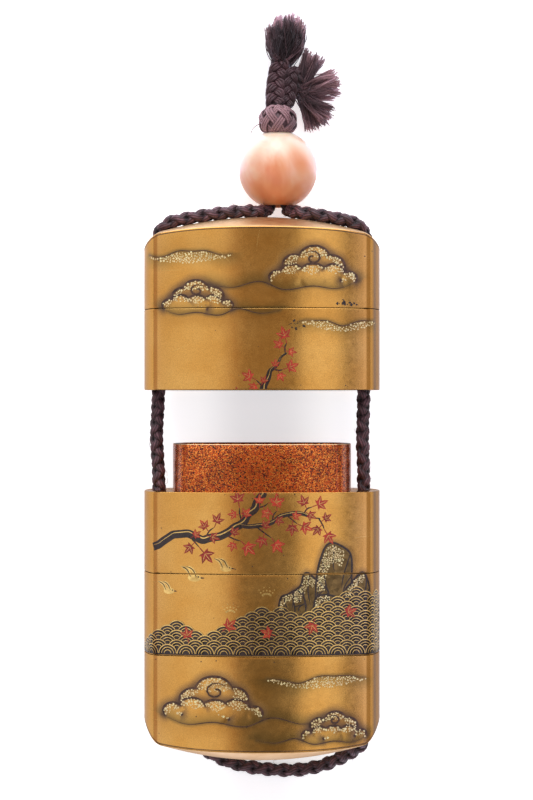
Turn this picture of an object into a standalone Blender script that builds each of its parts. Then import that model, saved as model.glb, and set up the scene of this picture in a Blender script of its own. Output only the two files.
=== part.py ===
"""A four-case inro with its cord and bead, lying on its back with two cases drawn apart.

Metres, +Z up. The stack of cases runs along +Y, from the base to the lid, and its broad
front faces up. The floor is Z = 0. The origin lies on the floor, in the middle of the inro
and its bead: the cord and what is tied in it are left out of that middle.
"""
import math

import bmesh
import bpy
from mathutils import Matrix, Vector
from mathutils.geometry import interpolate_bezier

# The outline of every case, seen along the stack: two broad arcs and two round ends.
HALF_WIDTH = 0.025
HALF_THICKNESS = 0.012
CREASE = (0.0225, 0.009)
CREASE_ROUNDING = 0.0012
FLAT_STRIP = 0.006            # flat along the middle of the broad faces: the back lies on it

# The riser of a case, which slides up into the case above it, and the compartment in it.
RISER_HALF_WIDTH = 0.0189
RISER_HALF_THICKNESS = 0.0102
RISER_CREASE = (0.0164, 0.0086)
RISER_ROUNDING = 0.0024
RISER_HEIGHT = 0.0101
RISER_WALL = 0.0013
FLOOR_THICKNESS = 0.0012
SEAM_GAP = 0.0003             # between two pieces that touch
HEAD_ROOM = 0.0004            # above the rim of a riser, below the floor over it

# The stack, from the base to the lid.
BASE_HEIGHT = 0.0232
CASE_HEIGHT = 0.0170
OPEN_GAP = 0.0211             # how far the upper two cases are drawn off the lower three
LID_HEIGHT = 0.0197
END_THICKNESS = 0.0052        # from the top of a domed end to the hollow behind it

# The domed ends: an arch across the width, a tighter one front to back, and cut corners.
ARCH_HALF_WIDTH = 0.0223
ARCH_DROP = 0.00225
CORNER_SLOPE = 1.46
CUSHION_RADIUS = 0.0235

# The bead, and the cord through it.
BEAD_RADIUS = 0.0084
BEAD_BORE = 0.0030
BEAD_X = 0.0034
BEAD_RIM = math.sqrt(BEAD_RADIUS ** 2 - BEAD_BORE ** 2)   # from its centre to the bore's rim
BEAD_ABOVE_LID = 0.0106       # from the top of the lid to the centre of the bead
CORD_RADIUS = 0.0014
BEAD_SQUEEZE = 0.84           # how much thinner the cord's two strands are in the bead
CHANNEL_RADIUS = 0.0017

# The knot over the bead, and the two frayed ends that come out of it.
KNOT_CENTRE = (0.0031, 0.0702, 0.0084)
KNOT_HALF_SIZE = (0.0040, 0.0031, 0.0035)
UPPER_STUB = ((0.0026, 0.0736, 0.0079), (0.0024, 0.0765, 0.0064), (0.0028, 0.0809, 0.0046),
              (0.0040, 0.0853, 0.0036))
UPPER_STUB_RADIUS = 0.0019
UPPER_BRUSH = ((0.0047, 0.0883, 0.0034), (0.0046, 0.0050, 0.0029))
SIDE_STUB = ((0.0062, 0.0734, 0.0076), (0.0071, 0.0755, 0.0060), (0.0088, 0.0765, 0.0046),
             (0.0112, 0.0758, 0.0038))
SIDE_STUB_RADIUS = 0.0015
SIDE_BRUSH = ((0.0124, 0.0755, 0.0035), (0.0043, 0.0085, 0.0030))

STACK_LENGTH = BASE_HEIGHT + 3 * CASE_HEIGHT + OPEN_GAP + LID_HEIGHT
WHOLE_LENGTH = STACK_LENGTH + BEAD_ABOVE_LID + BEAD_RIM
BASE_Y = -WHOLE_LENGTH / 2
CASE_3_Y = BASE_Y + BASE_HEIGHT
CASE_2_Y = CASE_3_Y + CASE_HEIGHT
CASE_1_Y = CASE_2_Y + CASE_HEIGHT + OPEN_GAP
LID_Y = CASE_1_Y + CASE_HEIGHT
LID_TOP_Y = LID_Y + LID_HEIGHT
BEAD_Y = LID_TOP_Y + BEAD_ABOVE_LID
MIDDLE_Z = HALF_THICKNESS
PAST = 0.002                  # how far a cutter or a joined piece runs past the face it meets

# The middle of the one cord, from the knot round the whole inro and back to the knot.
BEAD_LEFT = [(0.00215, 0.0668, 0.0084), (0.00215, 0.0593, 0.0084), (0.00215, 0.0525, 0.0084)]
OVER_LID_LEFT = [(0.00195, 0.0499, 0.0094), (0.0003, 0.0498, 0.0124), (-0.0032, 0.0499, 0.0143),
                 (-0.0092, 0.0496, 0.0152), (-0.0150, 0.0488, 0.0153)]
CHANNEL_LEFT = [(-0.0196, 0.0474, 0.0147), (-0.0219, 0.0445, 0.0131), (-0.0218, 0.0399, 0.0121),
                (-0.0217, 0.0243, 0.0120), (-0.0221, 0.0088, 0.0122), (-0.0224, 0.0015, 0.0123),
                (-0.0220, -0.0057, 0.0121), (-0.0217, -0.0237, 0.0120), (-0.0217, -0.0497, 0.0120),
                (-0.0217, -0.0602, 0.0118), (-0.0215, -0.0627, 0.0099), (-0.0206, -0.0635, 0.0068),
                (-0.0184, -0.0640, 0.0042), (-0.0150, -0.0652, 0.0023)]
LOOP = [(-0.0113, -0.0675, 0.0016), (-0.0075, -0.0694, 0.0015), (-0.0027, -0.0706, 0.0015),
        (0.0025, -0.0712, 0.0015), (0.0078, -0.0712, 0.0017), (0.0127, -0.0701, 0.0029)]
CHANNEL_RIGHT = [(0.0166, -0.0681, 0.0052), (0.0197, -0.0658, 0.0080), (0.0217, -0.0633, 0.0104),
                 (0.0220, -0.0604, 0.0119), (0.0217, -0.0497, 0.0120), (0.0217, -0.0237, 0.0120),
                 (0.0216, -0.0057, 0.0121), (0.0214, 0.0015, 0.0123), (0.0216, 0.0088, 0.0121),
                 (0.0217, 0.0243, 0.0120), (0.0218, 0.0399, 0.0121), (0.0219, 0.0445, 0.0131),
                 (0.0196, 0.0474, 0.0147)]
OVER_LID_RIGHT = [(0.0150, 0.0488, 0.0153), (0.0104, 0.0494, 0.0149), (0.0067, 0.0498, 0.0127),
                  (0.00485, 0.0499, 0.0094)]
BEAD_RIGHT = [(0.00465, 0.0525, 0.0084), (0.00465, 0.0593, 0.0084), (0.00465, 0.0668, 0.0084)]
LONG_SPAN = 0.010             # a longer stretch between two points of the route is straight

# Surfaces: colour, roughness, metallic.
GOLD_LACQUER = ("gold lacquer", (0.60, 0.34, 0.08), 0.35, 0.85)
SILK = ("silk cord", (0.055, 0.028, 0.032), 0.75, 0.0)
CORAL = ("coral bead", (0.80, 0.38, 0.20), 0.28, 0.0)


def clear_scene():
    for old in list(bpy.data.objects):
        bpy.data.objects.remove(old)


def new_collection(name):
    collection = bpy.data.collections.new(name)
    bpy.context.scene.collection.children.link(collection)
    return collection


def material(name, colour, roughness, metallic):
    surface = bpy.data.materials.get(name) or bpy.data.materials.new(name)
    surface.use_nodes = True
    shader = surface.node_tree.nodes["Principled BSDF"]
    shader.inputs["Base Color"].default_value = (*colour, 1.0)
    shader.inputs["Roughness"].default_value = roughness
    shader.inputs["Metallic"].default_value = metallic
    return surface


def arc(centre, radius, start, end, steps):
    """Points on an arc, both ends included; angles in radians."""
    angles = [start + (end - start) * i / steps for i in range(steps + 1)]
    return [(centre[0] + radius * math.cos(a), centre[1] + radius * math.sin(a)) for a in angles]


def lens_outline(half_width, half_thickness, crease, rounding, broad_steps=6, end_steps=3):
    """The closed outline of a case in X and Z: broad arcs, round ends and rounded creases."""
    edge, height = crease
    strip = FLAT_STRIP / 2
    rise = height - half_thickness
    broad_z = (edge ** 2 - strip ** 2 + height ** 2 - half_thickness ** 2) / (2 * rise)
    broad_radius = math.hypot(strip, half_thickness - broad_z)
    end_x = (half_width ** 2 - edge ** 2 - height ** 2) / (2 * (half_width - edge))
    end_radius = half_width - end_x
    # The rounding's centre is as far inside the broad arc as inside the end arc.
    inner_broad = broad_radius - rounding
    inner_end = end_radius - rounding
    apart = math.hypot(end_x, broad_z)
    along = (inner_broad ** 2 - inner_end ** 2 + apart ** 2) / (2 * apart)
    aside = math.sqrt(inner_broad ** 2 - along ** 2)
    unit = Vector((end_x, -broad_z)) / apart
    corner = Vector((0, broad_z)) + along * unit + aside * Vector((unit.y, -unit.x))
    broad_angle = math.atan2(corner.y - broad_z, corner.x)
    end_angle = math.atan2(corner.y, corner.x - end_x)
    strip_angle = math.acos(strip / broad_radius)

    quarter = arc((end_x, 0), end_radius, 0, end_angle, end_steps)
    quarter += arc(corner, rounding, end_angle, broad_angle, 2)[1:]
    quarter += arc((0, broad_z), broad_radius, broad_angle, strip_angle, broad_steps)[1:]
    upper = quarter + [(-x, z) for x, z in reversed(quarter)]
    return upper + [(x, -z) for x, z in reversed(upper[1:-1])]


def inset(outline, distance):
    """The outline moved inwards by a distance, or outwards by a negative one."""
    count = len(outline)
    moved = []
    for i, point in enumerate(outline):
        before, after = Vector(outline[i - 1]), Vector(outline[(i + 1) % count])
        along = (after - before).normalized()
        moved.append((point[0] - distance * along.y, point[1] + distance * along.x))
    return moved


def as_mesh(shape):
    """Turn a curve object into a closed mesh object in the same place."""
    bpy.context.view_layer.update()
    evaluated = shape.evaluated_get(bpy.context.evaluated_depsgraph_get())
    mesh = bpy.data.meshes.new_from_object(evaluated)
    mesh.transform(shape.matrix_world)
    bm = bmesh.new()
    bm.from_mesh(mesh)
    bmesh.ops.remove_doubles(bm, verts=bm.verts, dist=1e-6)
    bmesh.ops.recalc_face_normals(bm, faces=bm.faces)
    bm.to_mesh(mesh)
    bm.free()
    name = shape.name
    solid = bpy.data.objects.new(name + "_solid", mesh)
    for collection in shape.users_collection:
        collection.objects.link(solid)
    bpy.data.objects.remove(shape)
    solid.name = name
    return solid


def prism(name, outline, low, high, collection):
    """A solid with the outline as its cross-section, from low to high along Y."""
    curve = bpy.data.curves.new(name, "CURVE")
    curve.dimensions = "2D"
    curve.fill_mode = "BOTH"
    curve.extrude = (high - low) / 2
    spline = curve.splines.new("POLY")
    spline.points.add(len(outline) - 1)
    for point, (x, z) in zip(spline.points, outline):
        point.co = (x, z, 0, 1)
    spline.use_cyclic_u = True
    shape = bpy.data.objects.new(name, curve)
    shape.rotation_euler = (math.pi / 2, 0, 0)
    shape.location = (0, (low + high) / 2, MIDDLE_Z)
    collection.objects.link(shape)
    return as_mesh(shape)


def smooth_route(points):
    """Points read from a smooth curve through the route's own points."""
    knots = [Vector(point) for point in points]
    ends = [knots[0], *knots, knots[-1]]
    tangents = [(after - before).normalized() for before, after in zip(ends, ends[2:])]
    samples = [knots[0]]
    for i in range(len(knots) - 1):
        span = (knots[i + 1] - knots[i]).length
        start = knots[i] + tangents[i] * span / 3
        end = knots[i + 1] - tangents[i + 1] * span / 3
        steps = 1 if span > LONG_SPAN else 2
        samples += interpolate_bezier(knots[i], start, end, knots[i + 1], steps + 1)[1:]
    return samples


def tube(name, points, radii, sides_resolution, collection):
    """A round tube with flat ends along the points, with a radius at each of them."""
    curve = bpy.data.curves.new(name, "CURVE")
    curve.dimensions = "3D"
    curve.bevel_depth = 1.0
    curve.bevel_resolution = sides_resolution
    curve.use_fill_caps = True
    spline = curve.splines.new("POLY")
    spline.points.add(len(points) - 1)
    for point, place, radius in zip(spline.points, points, radii):
        point.co = (*place, 1)
        point.radius = radius
    shape = bpy.data.objects.new(name, curve)
    collection.objects.link(shape)
    return shape


def cut_or_join(target, other, operation):
    change = target.modifiers.new(other.name, "BOOLEAN")
    change.operation = operation
    change.object = other
    change.solver = "EXACT"


def end_drop(x, z):
    """How far a domed end stands back from its highest point, at x and z from its middle."""
    side = abs(x)
    arch = ARCH_DROP * (min(side, ARCH_HALF_WIDTH) / ARCH_HALF_WIDTH) ** 2
    corner = CORNER_SLOPE * max(0.0, side - ARCH_HALF_WIDTH)
    cushion = CUSHION_RADIUS - math.sqrt(CUSHION_RADIUS ** 2 - z ** 2)
    return arch + corner + cushion


def beyond_dome(name, apex, outward, cutters):
    """A block of everything beyond a domed end; outward is +1 for the lid, -1 for the base."""
    columns = 8
    rows = 10
    stations = [ARCH_HALF_WIDTH * i / (columns - 1) for i in range(columns)]
    stations.append(HALF_WIDTH + PAST)
    stations = [-x for x in reversed(stations[1:])] + stations
    half_depth = HALF_THICKNESS + PAST / 2
    block = bmesh.new()
    bmesh.ops.create_grid(block, x_segments=len(stations) - 1, y_segments=rows, size=1.0)
    for vert in block.verts:
        column = round((vert.co.x + 1) / 2 * (len(stations) - 1))
        x = stations[column]
        z = vert.co.y * half_depth
        vert.co = (x, apex - outward * end_drop(x, z), MIDDLE_Z + z)
    grown = bmesh.ops.extrude_face_region(block, geom=block.faces[:])
    moved = [item for item in grown["geom"] if isinstance(item, bmesh.types.BMVert)]
    for vert in moved:
        vert.co.y = apex + outward * PAST
    bmesh.ops.recalc_face_normals(block, faces=block.faces)
    mesh = bpy.data.meshes.new(name)
    block.to_mesh(mesh)
    block.free()
    cutter = bpy.data.objects.new(name, mesh)
    cutters.objects.link(cutter)
    return cutter


def ellipsoid(name, centre, half_size, collection):
    bm = bmesh.new()
    bmesh.ops.create_uvsphere(bm, u_segments=20, v_segments=12, radius=1.0)
    bmesh.ops.transform(bm, matrix=Matrix.Diagonal((*half_size, 1)), verts=bm.verts)
    mesh = bpy.data.meshes.new(name)
    bm.to_mesh(mesh)
    bm.free()
    mesh.shade_smooth()
    shape = bpy.data.objects.new(name, mesh)
    shape.location = centre
    collection.objects.link(shape)
    return shape


OUTER = lens_outline(HALF_WIDTH, HALF_THICKNESS, CREASE, CREASE_ROUNDING)
RISER = lens_outline(RISER_HALF_WIDTH, RISER_HALF_THICKNESS, RISER_CREASE, RISER_ROUNDING)
RECESS = inset(RISER, -SEAM_GAP)
COMPARTMENT = inset(RISER, RISER_WALL)
RECESS_DEPTH = RISER_HEIGHT + HEAD_ROOM


def add_riser(case, top, floor, cutters):
    """A riser that stands out of the case's top, with the compartment in it down to the floor."""
    riser = prism(case.name + "_riser", RISER, top - PAST, top + RISER_HEIGHT, cutters)
    hollow = prism(case.name + "_compartment", COMPARTMENT, floor, top + RISER_HEIGHT + PAST, cutters)
    cut_or_join(case, riser, "UNION")
    cut_or_join(case, hollow, "DIFFERENCE")


def make_lid(parts, cutters):
    lid = prism("lid", OUTER, LID_Y, LID_TOP_Y, parts)
    cut_or_join(lid, beyond_dome("beyond_lid", LID_TOP_Y, 1, cutters), "DIFFERENCE")
    hollow = prism("lid_hollow", RECESS, LID_Y - PAST, LID_TOP_Y - END_THICKNESS, cutters)
    cut_or_join(lid, hollow, "DIFFERENCE")
    return lid


def make_middle_case(name, low, parts, cutters):
    """A case with a recess below for the riser under it, a floor, and a riser of its own."""
    top = low + CASE_HEIGHT - SEAM_GAP
    ceiling = low + RECESS_DEPTH
    case = prism(name, OUTER, low, top, parts)
    cut_or_join(case, prism(name + "_recess", RECESS, low - PAST, ceiling, cutters), "DIFFERENCE")
    add_riser(case, top, ceiling + FLOOR_THICKNESS, cutters)
    return case


def make_base(parts, cutters):
    top = BASE_Y + BASE_HEIGHT - SEAM_GAP
    base = prism("case_4_base", OUTER, BASE_Y, top, parts)
    cut_or_join(base, beyond_dome("beyond_base", BASE_Y, -1, cutters), "DIFFERENCE")
    add_riser(base, top, BASE_Y + END_THICKNESS, cutters)
    return base


def cut_channels(cases, cutters):
    """The two channels that the cord runs in; their mouths follow the cord's bends."""
    routes = {"channel_left": OVER_LID_LEFT[-1:] + CHANNEL_LEFT + LOOP[:1],
              "channel_right": LOOP[-1:] + CHANNEL_RIGHT + OVER_LID_RIGHT[:1]}
    for name, route in routes.items():
        points = smooth_route(route)
        channel = as_mesh(tube(name, points, [CHANNEL_RADIUS] * len(points), 4, cutters))
        for case in cases:
            cut_or_join(case, channel, "DIFFERENCE")


def make_bead(parts):
    """The bead: a ball turned on its bore, which lies along Y."""
    rim = math.asin(BEAD_BORE / BEAD_RADIUS)
    steps = 18
    profile = arc((0, 0), BEAD_RADIUS, math.pi / 2 - rim, rim - math.pi / 2, steps)
    mesh = bpy.data.meshes.new("ojime_bead")
    count = len(profile)
    edges = [(i, (i + 1) % count) for i in range(count)]
    mesh.from_pydata([(x, 0, z) for x, z in profile], edges, [])
    bead = bpy.data.objects.new("ojime_bead", mesh)
    turn = bead.modifiers.new("turned", "SCREW")
    turn.axis = "Z"
    turn.steps = 28
    turn.render_steps = 28
    turn.use_merge_vertices = True
    turn.merge_threshold = 0.00001
    turn.use_smooth_shade = True
    bead.rotation_euler = (math.pi / 2, 0, 0)
    bead.location = (BEAD_X, BEAD_Y, BEAD_RADIUS)
    parts.objects.link(bead)
    return bead


def make_cord(parts):
    """The cord, from the knot down through the bead, round the inro and back up to the knot."""
    route = BEAD_LEFT + OVER_LID_LEFT + CHANNEL_LEFT + LOOP + CHANNEL_RIGHT + OVER_LID_RIGHT + BEAD_RIGHT
    points = smooth_route(route)
    bead_low = BEAD_Y - BEAD_RADIUS
    radii = [CORD_RADIUS * (BEAD_SQUEEZE if point.y > bead_low else 1.0) for point in points]
    return tube("cord", points, radii, 2, parts)


def make_frayed_end(name, stub, stub_radius, brush, parts, cutters):
    """A short plaited stub out of the knot, which ends in a flattened brush of loose threads."""
    points = smooth_route(stub)
    end = as_mesh(tube(name, points, [stub_radius] * len(points), 3, parts))
    cut_or_join(end, ellipsoid(name + "_brush", *brush, cutters), "UNION")
    return end


def main():
    clear_scene()
    parts = new_collection("inro")
    cutters = new_collection("cutters")

    cases = [make_lid(parts, cutters),
             make_middle_case("case_1", CASE_1_Y, parts, cutters),
             make_middle_case("case_2", CASE_2_Y, parts, cutters),
             make_middle_case("case_3", CASE_3_Y, parts, cutters),
             make_base(parts, cutters)]
    cut_channels(cases, cutters)
    silk = [make_cord(parts),
            ellipsoid("cord_knot", KNOT_CENTRE, KNOT_HALF_SIZE, parts),
            make_frayed_end("cord_end_upper", UPPER_STUB, UPPER_STUB_RADIUS, UPPER_BRUSH, parts, cutters),
            make_frayed_end("cord_end_side", SIDE_STUB, SIDE_STUB_RADIUS, SIDE_BRUSH, parts, cutters)]
    bead = make_bead(parts)

    for pieces, surface in ((cases, GOLD_LACQUER), (silk, SILK), ([bead], CORAL)):
        for piece in pieces:
            piece.data.materials.clear()
            piece.data.materials.append(material(*surface))
    for cutter in cutters.objects:
        cutter.hide_render = True
        cutter.display_type = "WIRE"


main()
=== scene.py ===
"""The looks of a four-case inro with its bead and silk cord, lying on its back.

Lengths are millimetres, which new_mesh() turns into metres. The cord's route and the materials
have the frame's metres.
"""
import math
import random

import bmesh
import bpy
import numpy as np
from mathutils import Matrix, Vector
from mathutils.geometry import interpolate_bezier, tessellate_polygon


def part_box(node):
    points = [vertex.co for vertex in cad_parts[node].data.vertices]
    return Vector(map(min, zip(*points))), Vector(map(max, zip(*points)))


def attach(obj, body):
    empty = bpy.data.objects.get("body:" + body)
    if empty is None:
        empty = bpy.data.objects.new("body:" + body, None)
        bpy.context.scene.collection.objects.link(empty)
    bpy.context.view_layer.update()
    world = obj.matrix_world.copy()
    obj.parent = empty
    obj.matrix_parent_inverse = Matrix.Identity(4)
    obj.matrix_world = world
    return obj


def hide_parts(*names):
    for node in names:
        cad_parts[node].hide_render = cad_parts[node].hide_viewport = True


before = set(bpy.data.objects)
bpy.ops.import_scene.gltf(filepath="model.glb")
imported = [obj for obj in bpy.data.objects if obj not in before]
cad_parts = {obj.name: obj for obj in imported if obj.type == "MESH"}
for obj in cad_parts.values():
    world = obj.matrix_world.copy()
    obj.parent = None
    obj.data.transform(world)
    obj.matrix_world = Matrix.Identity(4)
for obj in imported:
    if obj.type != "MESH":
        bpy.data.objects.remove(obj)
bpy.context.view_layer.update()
MM = 0.001

# The sizes of the frame's own cases.
HALF_WIDTH = 25.0
HALF_THICKNESS = 12.0
CREASE = (22.5, 9.0)
RISER_HALF_WIDTH = 18.9
RISER_HALF_THICKNESS = 10.2
RISER_CREASE = (16.4, 8.6)
RISER_ROUNDING = 2.4
RISER_HEIGHT = 10.1
RISER_WALL = 1.3
RISER_PLAY = 0.3
FLOOR_THICKNESS = 1.2
HEAD_ROOM = 0.4
END_THICKNESS = 5.2
ARCH_HALF_WIDTH = 22.3
CORNER_START = 21.0
CHANNEL_RADIUS = 1.7

# Softer and rounder than the frame's plain solids.
CREASE_ROUNDING = 3.0
LID_END = (3.40, 0.15, 26.5)  # its arch's drop, its corners' bend and its radius from front to back
BASE_END = (3.70, 0.27, 23.5)
CUSHION_FADE = 0.46           # how much flatter from front to back the ends are near the sides
SEAM = 0.1                    # the dark line between two closed cases
EDGE = 0.12                   # the rounding of a case's sharp edges


def low_y(node):
    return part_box(node)[0][1] / MM


def high_y(node):
    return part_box(node)[1][1] / MM


BASE_Y = low_y("case_4_base")
CASE_3_Y = low_y("case_3")
CASE_2_Y = low_y("case_2")
CASE_1_Y = low_y("case_1")
LID_Y = low_y("lid")
LID_TOP_Y = high_y("lid")
CASE_HEIGHT = CASE_2_Y - CASE_3_Y
OPEN_GAP = CASE_1_Y - CASE_2_Y - CASE_HEIGHT
MIDDLE_Z = HALF_THICKNESS

# The cord's route, in metres: the frame's own points, less than 1 mm lower over the lid.
BEAD_LEFT = [(0.00215, 0.0668, 0.0084), (0.00215, 0.0593, 0.0084), (0.00205, 0.0525, 0.0084)]
OVER_LID_LEFT = [(0.00125, 0.0502, 0.0093), (-0.0005, 0.0495, 0.0121), (-0.0036, 0.0494, 0.0142),
                 (-0.0092, 0.0488, 0.0151), (-0.0150, 0.0479, 0.0152)]
CHANNEL_LEFT = [(-0.0196, 0.0468, 0.0147), (-0.0219, 0.0443, 0.0131), (-0.0218, 0.0399, 0.0121),
                (-0.0217, 0.0243, 0.0120), (-0.0221, 0.0088, 0.0122), (-0.0224, 0.0015, 0.0123),
                (-0.0220, -0.0057, 0.0121), (-0.0217, -0.0237, 0.0120), (-0.0217, -0.0497, 0.0120),
                (-0.0217, -0.0602, 0.0118), (-0.0215, -0.0627, 0.0099), (-0.0206, -0.0635, 0.0068),
                (-0.0184, -0.0640, 0.0042), (-0.0150, -0.0652, 0.0023)]
LOOP = [(-0.0113, -0.0675, 0.0016), (-0.0075, -0.0694, 0.0015), (-0.0027, -0.0706, 0.0015),
        (0.0025, -0.0712, 0.0015), (0.0078, -0.0712, 0.0017), (0.0127, -0.0701, 0.0029)]
CHANNEL_RIGHT = [(0.0166, -0.0681, 0.0052), (0.0197, -0.0658, 0.0080), (0.0217, -0.0633, 0.0104),
                 (0.0220, -0.0604, 0.0119), (0.0217, -0.0497, 0.0120), (0.0217, -0.0237, 0.0120),
                 (0.0216, -0.0057, 0.0121), (0.0214, 0.0015, 0.0123), (0.0216, 0.0088, 0.0121),
                 (0.0217, 0.0243, 0.0120), (0.0218, 0.0399, 0.0121), (0.0219, 0.0443, 0.0131),
                 (0.0196, 0.0468, 0.0147)]
OVER_LID_RIGHT = [(0.0150, 0.0479, 0.0152), (0.0106, 0.0487, 0.0148), (0.0074, 0.0494, 0.0125),
                  (0.0056, 0.0502, 0.0093)]
BEAD_RIGHT = [(0.00475, 0.0525, 0.0084), (0.00465, 0.0593, 0.0084), (0.00465, 0.0668, 0.0084)]
CORD_RADIUS = 1.4
BEAD_SQUEEZE = 0.84           # how much thinner the cord is in the bead's bore
BRAID_PERIOD = 6.8
BRAID_YARN = (0.50, 0.19, 0.60, 0.44)  # reach, sway, width and thickness, in the cord's radii
CORE_YARN = 0.34
STRAY_HAIRS = 150

BEAD_CENTRE = (3.4, 0.5 * (low_y("ojime_bead") + high_y("ojime_bead")), 8.4)
BEAD_RADIUS = 8.4
BEAD_BORE = 3.0
BORE_WAIST = (0.98, 0.4)      # how narrow the bore is past its edges, and how long an edge is
BEAD_STEPS = (60, 96)         # down and around

# The knot over the bead.
KNOT_CENTRE = (3.4, 69.15, 9.5)
KNOT_HALF = (4.1, 3.55, 3.9)
KNOT_HAIR = ((0.7, 68.8, 9.6), (-0.8, 68.4, 9.8), (-1.9, 67.6, 9.4), (-2.5, 66.4, 8.8))
KNOT_LEADS = 5
KNOT_BIGHTS = 7
KNOT_TILT = 1.12
KNOT_WEAVE = 0.07             # how far a strand rises over another, as a share of the knot's size
KNOT_SKIN = 0.45              # how deep under its surface the yarns' centres lie
KNOT_STEPS = 620
KNOT_YARNS = (-0.52, 0.0, 0.52)  # how far aside of its line each yarn lies
KNOT_YARN = (0.31, 0.34)      # width and thickness
CORE_STEPS = (14, 28)         # of the knot's round core, down and around
KNOT_PRESS = 0.3              # how thin the yarns are pressed where they lie on the bead
KNOT_TINT = 0.66              # how faded the silk is, from 0 to 1

# The two frayed ends, which come out of the knot as plaits.
UPPER_STUB = ((2.9, 72.6, 7.9), (2.9, 75.8, 6.4), (3.4, 79.8, 4.9), (4.6, 84.6, 3.8))
SIDE_LOOP = ((5.4, 72.6, 7.4), (6.1, 76.4, 6.6), (6.4, 79.6, 6.0), (7.4, 80.6, 5.4), (8.0, 78.6, 4.9),
             (8.2, 76.2, 4.4))
UPPER_PLAIT = (2.35, 7.6, 0.25)  # radius, pitch and how much darker than other silk
SIDE_PLAIT = (1.6, 6.4, 0.42)
PLAIT_SWAY = 0.58             # in the plait's radii, like the next four
PLAIT_LIFT = 0.32
PLAIT_CORE = (0.5, 0.3)       # width and thickness
PLAIT_YARNS = (-0.27, 0.0, 0.27)
PLAIT_YARN = (0.17, 0.34)
PLAIT_TINT = 0.06
THREADS = 9                   # fine threads round a yarn
FIBRE_FLOOR = 0.3
FIBRE_TOP = 93.5
BRUSH_CENTRE = (5.4, 88.8, 3.8)
BRUSH_HALF = (4.4, 5.0, 2.6)
BRUSH_START = -34             # degrees
BRUSH_SWEEP = 248
BRUSH_ROOT = 1.6
BRUSH_THREADS = (0.66, 19)    # how far apart a bundle's tips are, and its threads
# Outness is a layer's painted shade and highlight.
BRUSH_LAYERS = (              # bundles, reach, lift, outness, tints, from the deepest to the nearest
    (18, 1.0, -0.5, 0.1, (0.6, 1.2)), (18, 0.97, 0.35, 0.7, (1.2, 1.9)),
    (12, 0.72, 0.9, 0.2, (0.4, 1.0)), (8, 0.40, 1.0, -0.4, (0.0, 0.3)))
FAN_ROOT = 1.3
FAN_THREADS = (0.70, 24)
# A clump's outness is its painted shade and highlight.
FANS = (                      # the side end's clumps: from and to degrees, reach, bundles, tint, outness
    (54, 84, 9.4, 11, 0.85, 0.4), (-6, 36, 9.2, 14, 1.15, 0.8), (-80, -22, 9.0, 18, 0.90, 0.5))


# ---------------------------------------------------------------- materials

NOISE_RANGE = (0.3, 0.7)      # where nearly all of a noise's values lie
GRAIN_DEPTH = 0.00006         # metres


class Surface:
    """A material built up node by node; most methods give the socket of a new node's result."""

    def __init__(self, name):
        self.material = bpy.data.materials.new(name)
        self.material.use_nodes = True
        self.tree = self.material.node_tree
        self.shader = self.tree.nodes["Principled BSDF"]

    def fill(self, node, inputs):
        """Sets a node's inputs to plain values or to other nodes' results."""
        for name, value in inputs.items():
            socket = node.inputs[name]
            if isinstance(value, bpy.types.NodeSocket):
                self.tree.links.new(value, socket)
            elif socket.type == "RGBA":
                socket.default_value = (*value, 1.0)
            else:
                socket.default_value = value

    def shade(self, inputs):
        """Sets inputs of the surface's own shader, and gives the material."""
        self.fill(self.shader, inputs)
        return self.material

    def node(self, kind, output, inputs=None, **settings):
        node = self.tree.nodes.new(kind)
        for name, value in settings.items():
            setattr(node, name, value)
        self.fill(node, inputs or {})
        return node.outputs[output]

    def place(self):
        """The object's own coordinates, in metres."""
        return self.node("ShaderNodeTexCoord", "Object")

    def axis(self, name, vector):
        return self.node("ShaderNodeSeparateXYZ", name, {"Vector": vector})

    def attribute(self, name, output="Fac"):
        return self.node("ShaderNodeAttribute", output, attribute_name=name)

    def noise(self, scale, detail=3.0):
        inputs = {"Vector": self.place(), "Scale": scale, "Detail": detail}
        return self.node("ShaderNodeTexNoise", "Fac", inputs)

    def cells(self, scale):
        """A random value for each small cell of the surface."""
        colour = self.node("ShaderNodeTexVoronoi", "Color", {"Vector": self.place(), "Scale": scale})
        return self.node("ShaderNodeSeparateColor", "Red", {"Color": colour})

    def ramp(self, factor, *stops):
        """A colour for each value of a factor, between the colours of the stops."""
        node = self.tree.nodes.new("ShaderNodeValToRGB")
        elements = node.color_ramp.elements
        while len(elements) < len(stops):
            elements.new(0.5)
        for element, (position, colour) in zip(elements, stops):
            element.position = position
            element.color = (*colour, 1.0)
        self.fill(node, {"Fac": factor})
        return node.outputs["Color"]

    def spread(self, factor, old, new, kind="LINEAR"):
        """A factor, from one pair of limits to another."""
        limits = {"From Min": old[0], "From Max": old[1], "To Min": new[0], "To Max": new[1]}
        return self.node("ShaderNodeMapRange", "Result", {"Value": factor, **limits}, interpolation_type=kind)

    def uneven(self, low, high, scale, detail=3.0):
        """A value that wanders between two limits from spot to spot."""
        return self.spread(self.noise(scale, detail), NOISE_RANGE, (low, high))

    def number(self, operation, *values):
        """The result of a sum on numbers, each of them a socket or plain."""
        return self.node("ShaderNodeMath", "Value", dict(enumerate(values)), operation=operation)

    def blend(self, factor, first, second, mode="MIX"):
        """Two colours, each a socket or plain, mixed by a socket or a number."""
        colours = {0: factor, 6: first, 7: second}
        return self.node("ShaderNodeMix", 2, colours, data_type="RGBA", blend_type=mode)

    def multiply(self, first, second):
        return self.blend(1.0, first, second, "MULTIPLY")

    def bump(self, height, strength, distance=GRAIN_DEPTH):
        inputs = {"Height": height, "Strength": strength, "Distance": distance}
        self.shade({"Normal": self.node("ShaderNodeBump", "Normal", inputs)})


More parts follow.
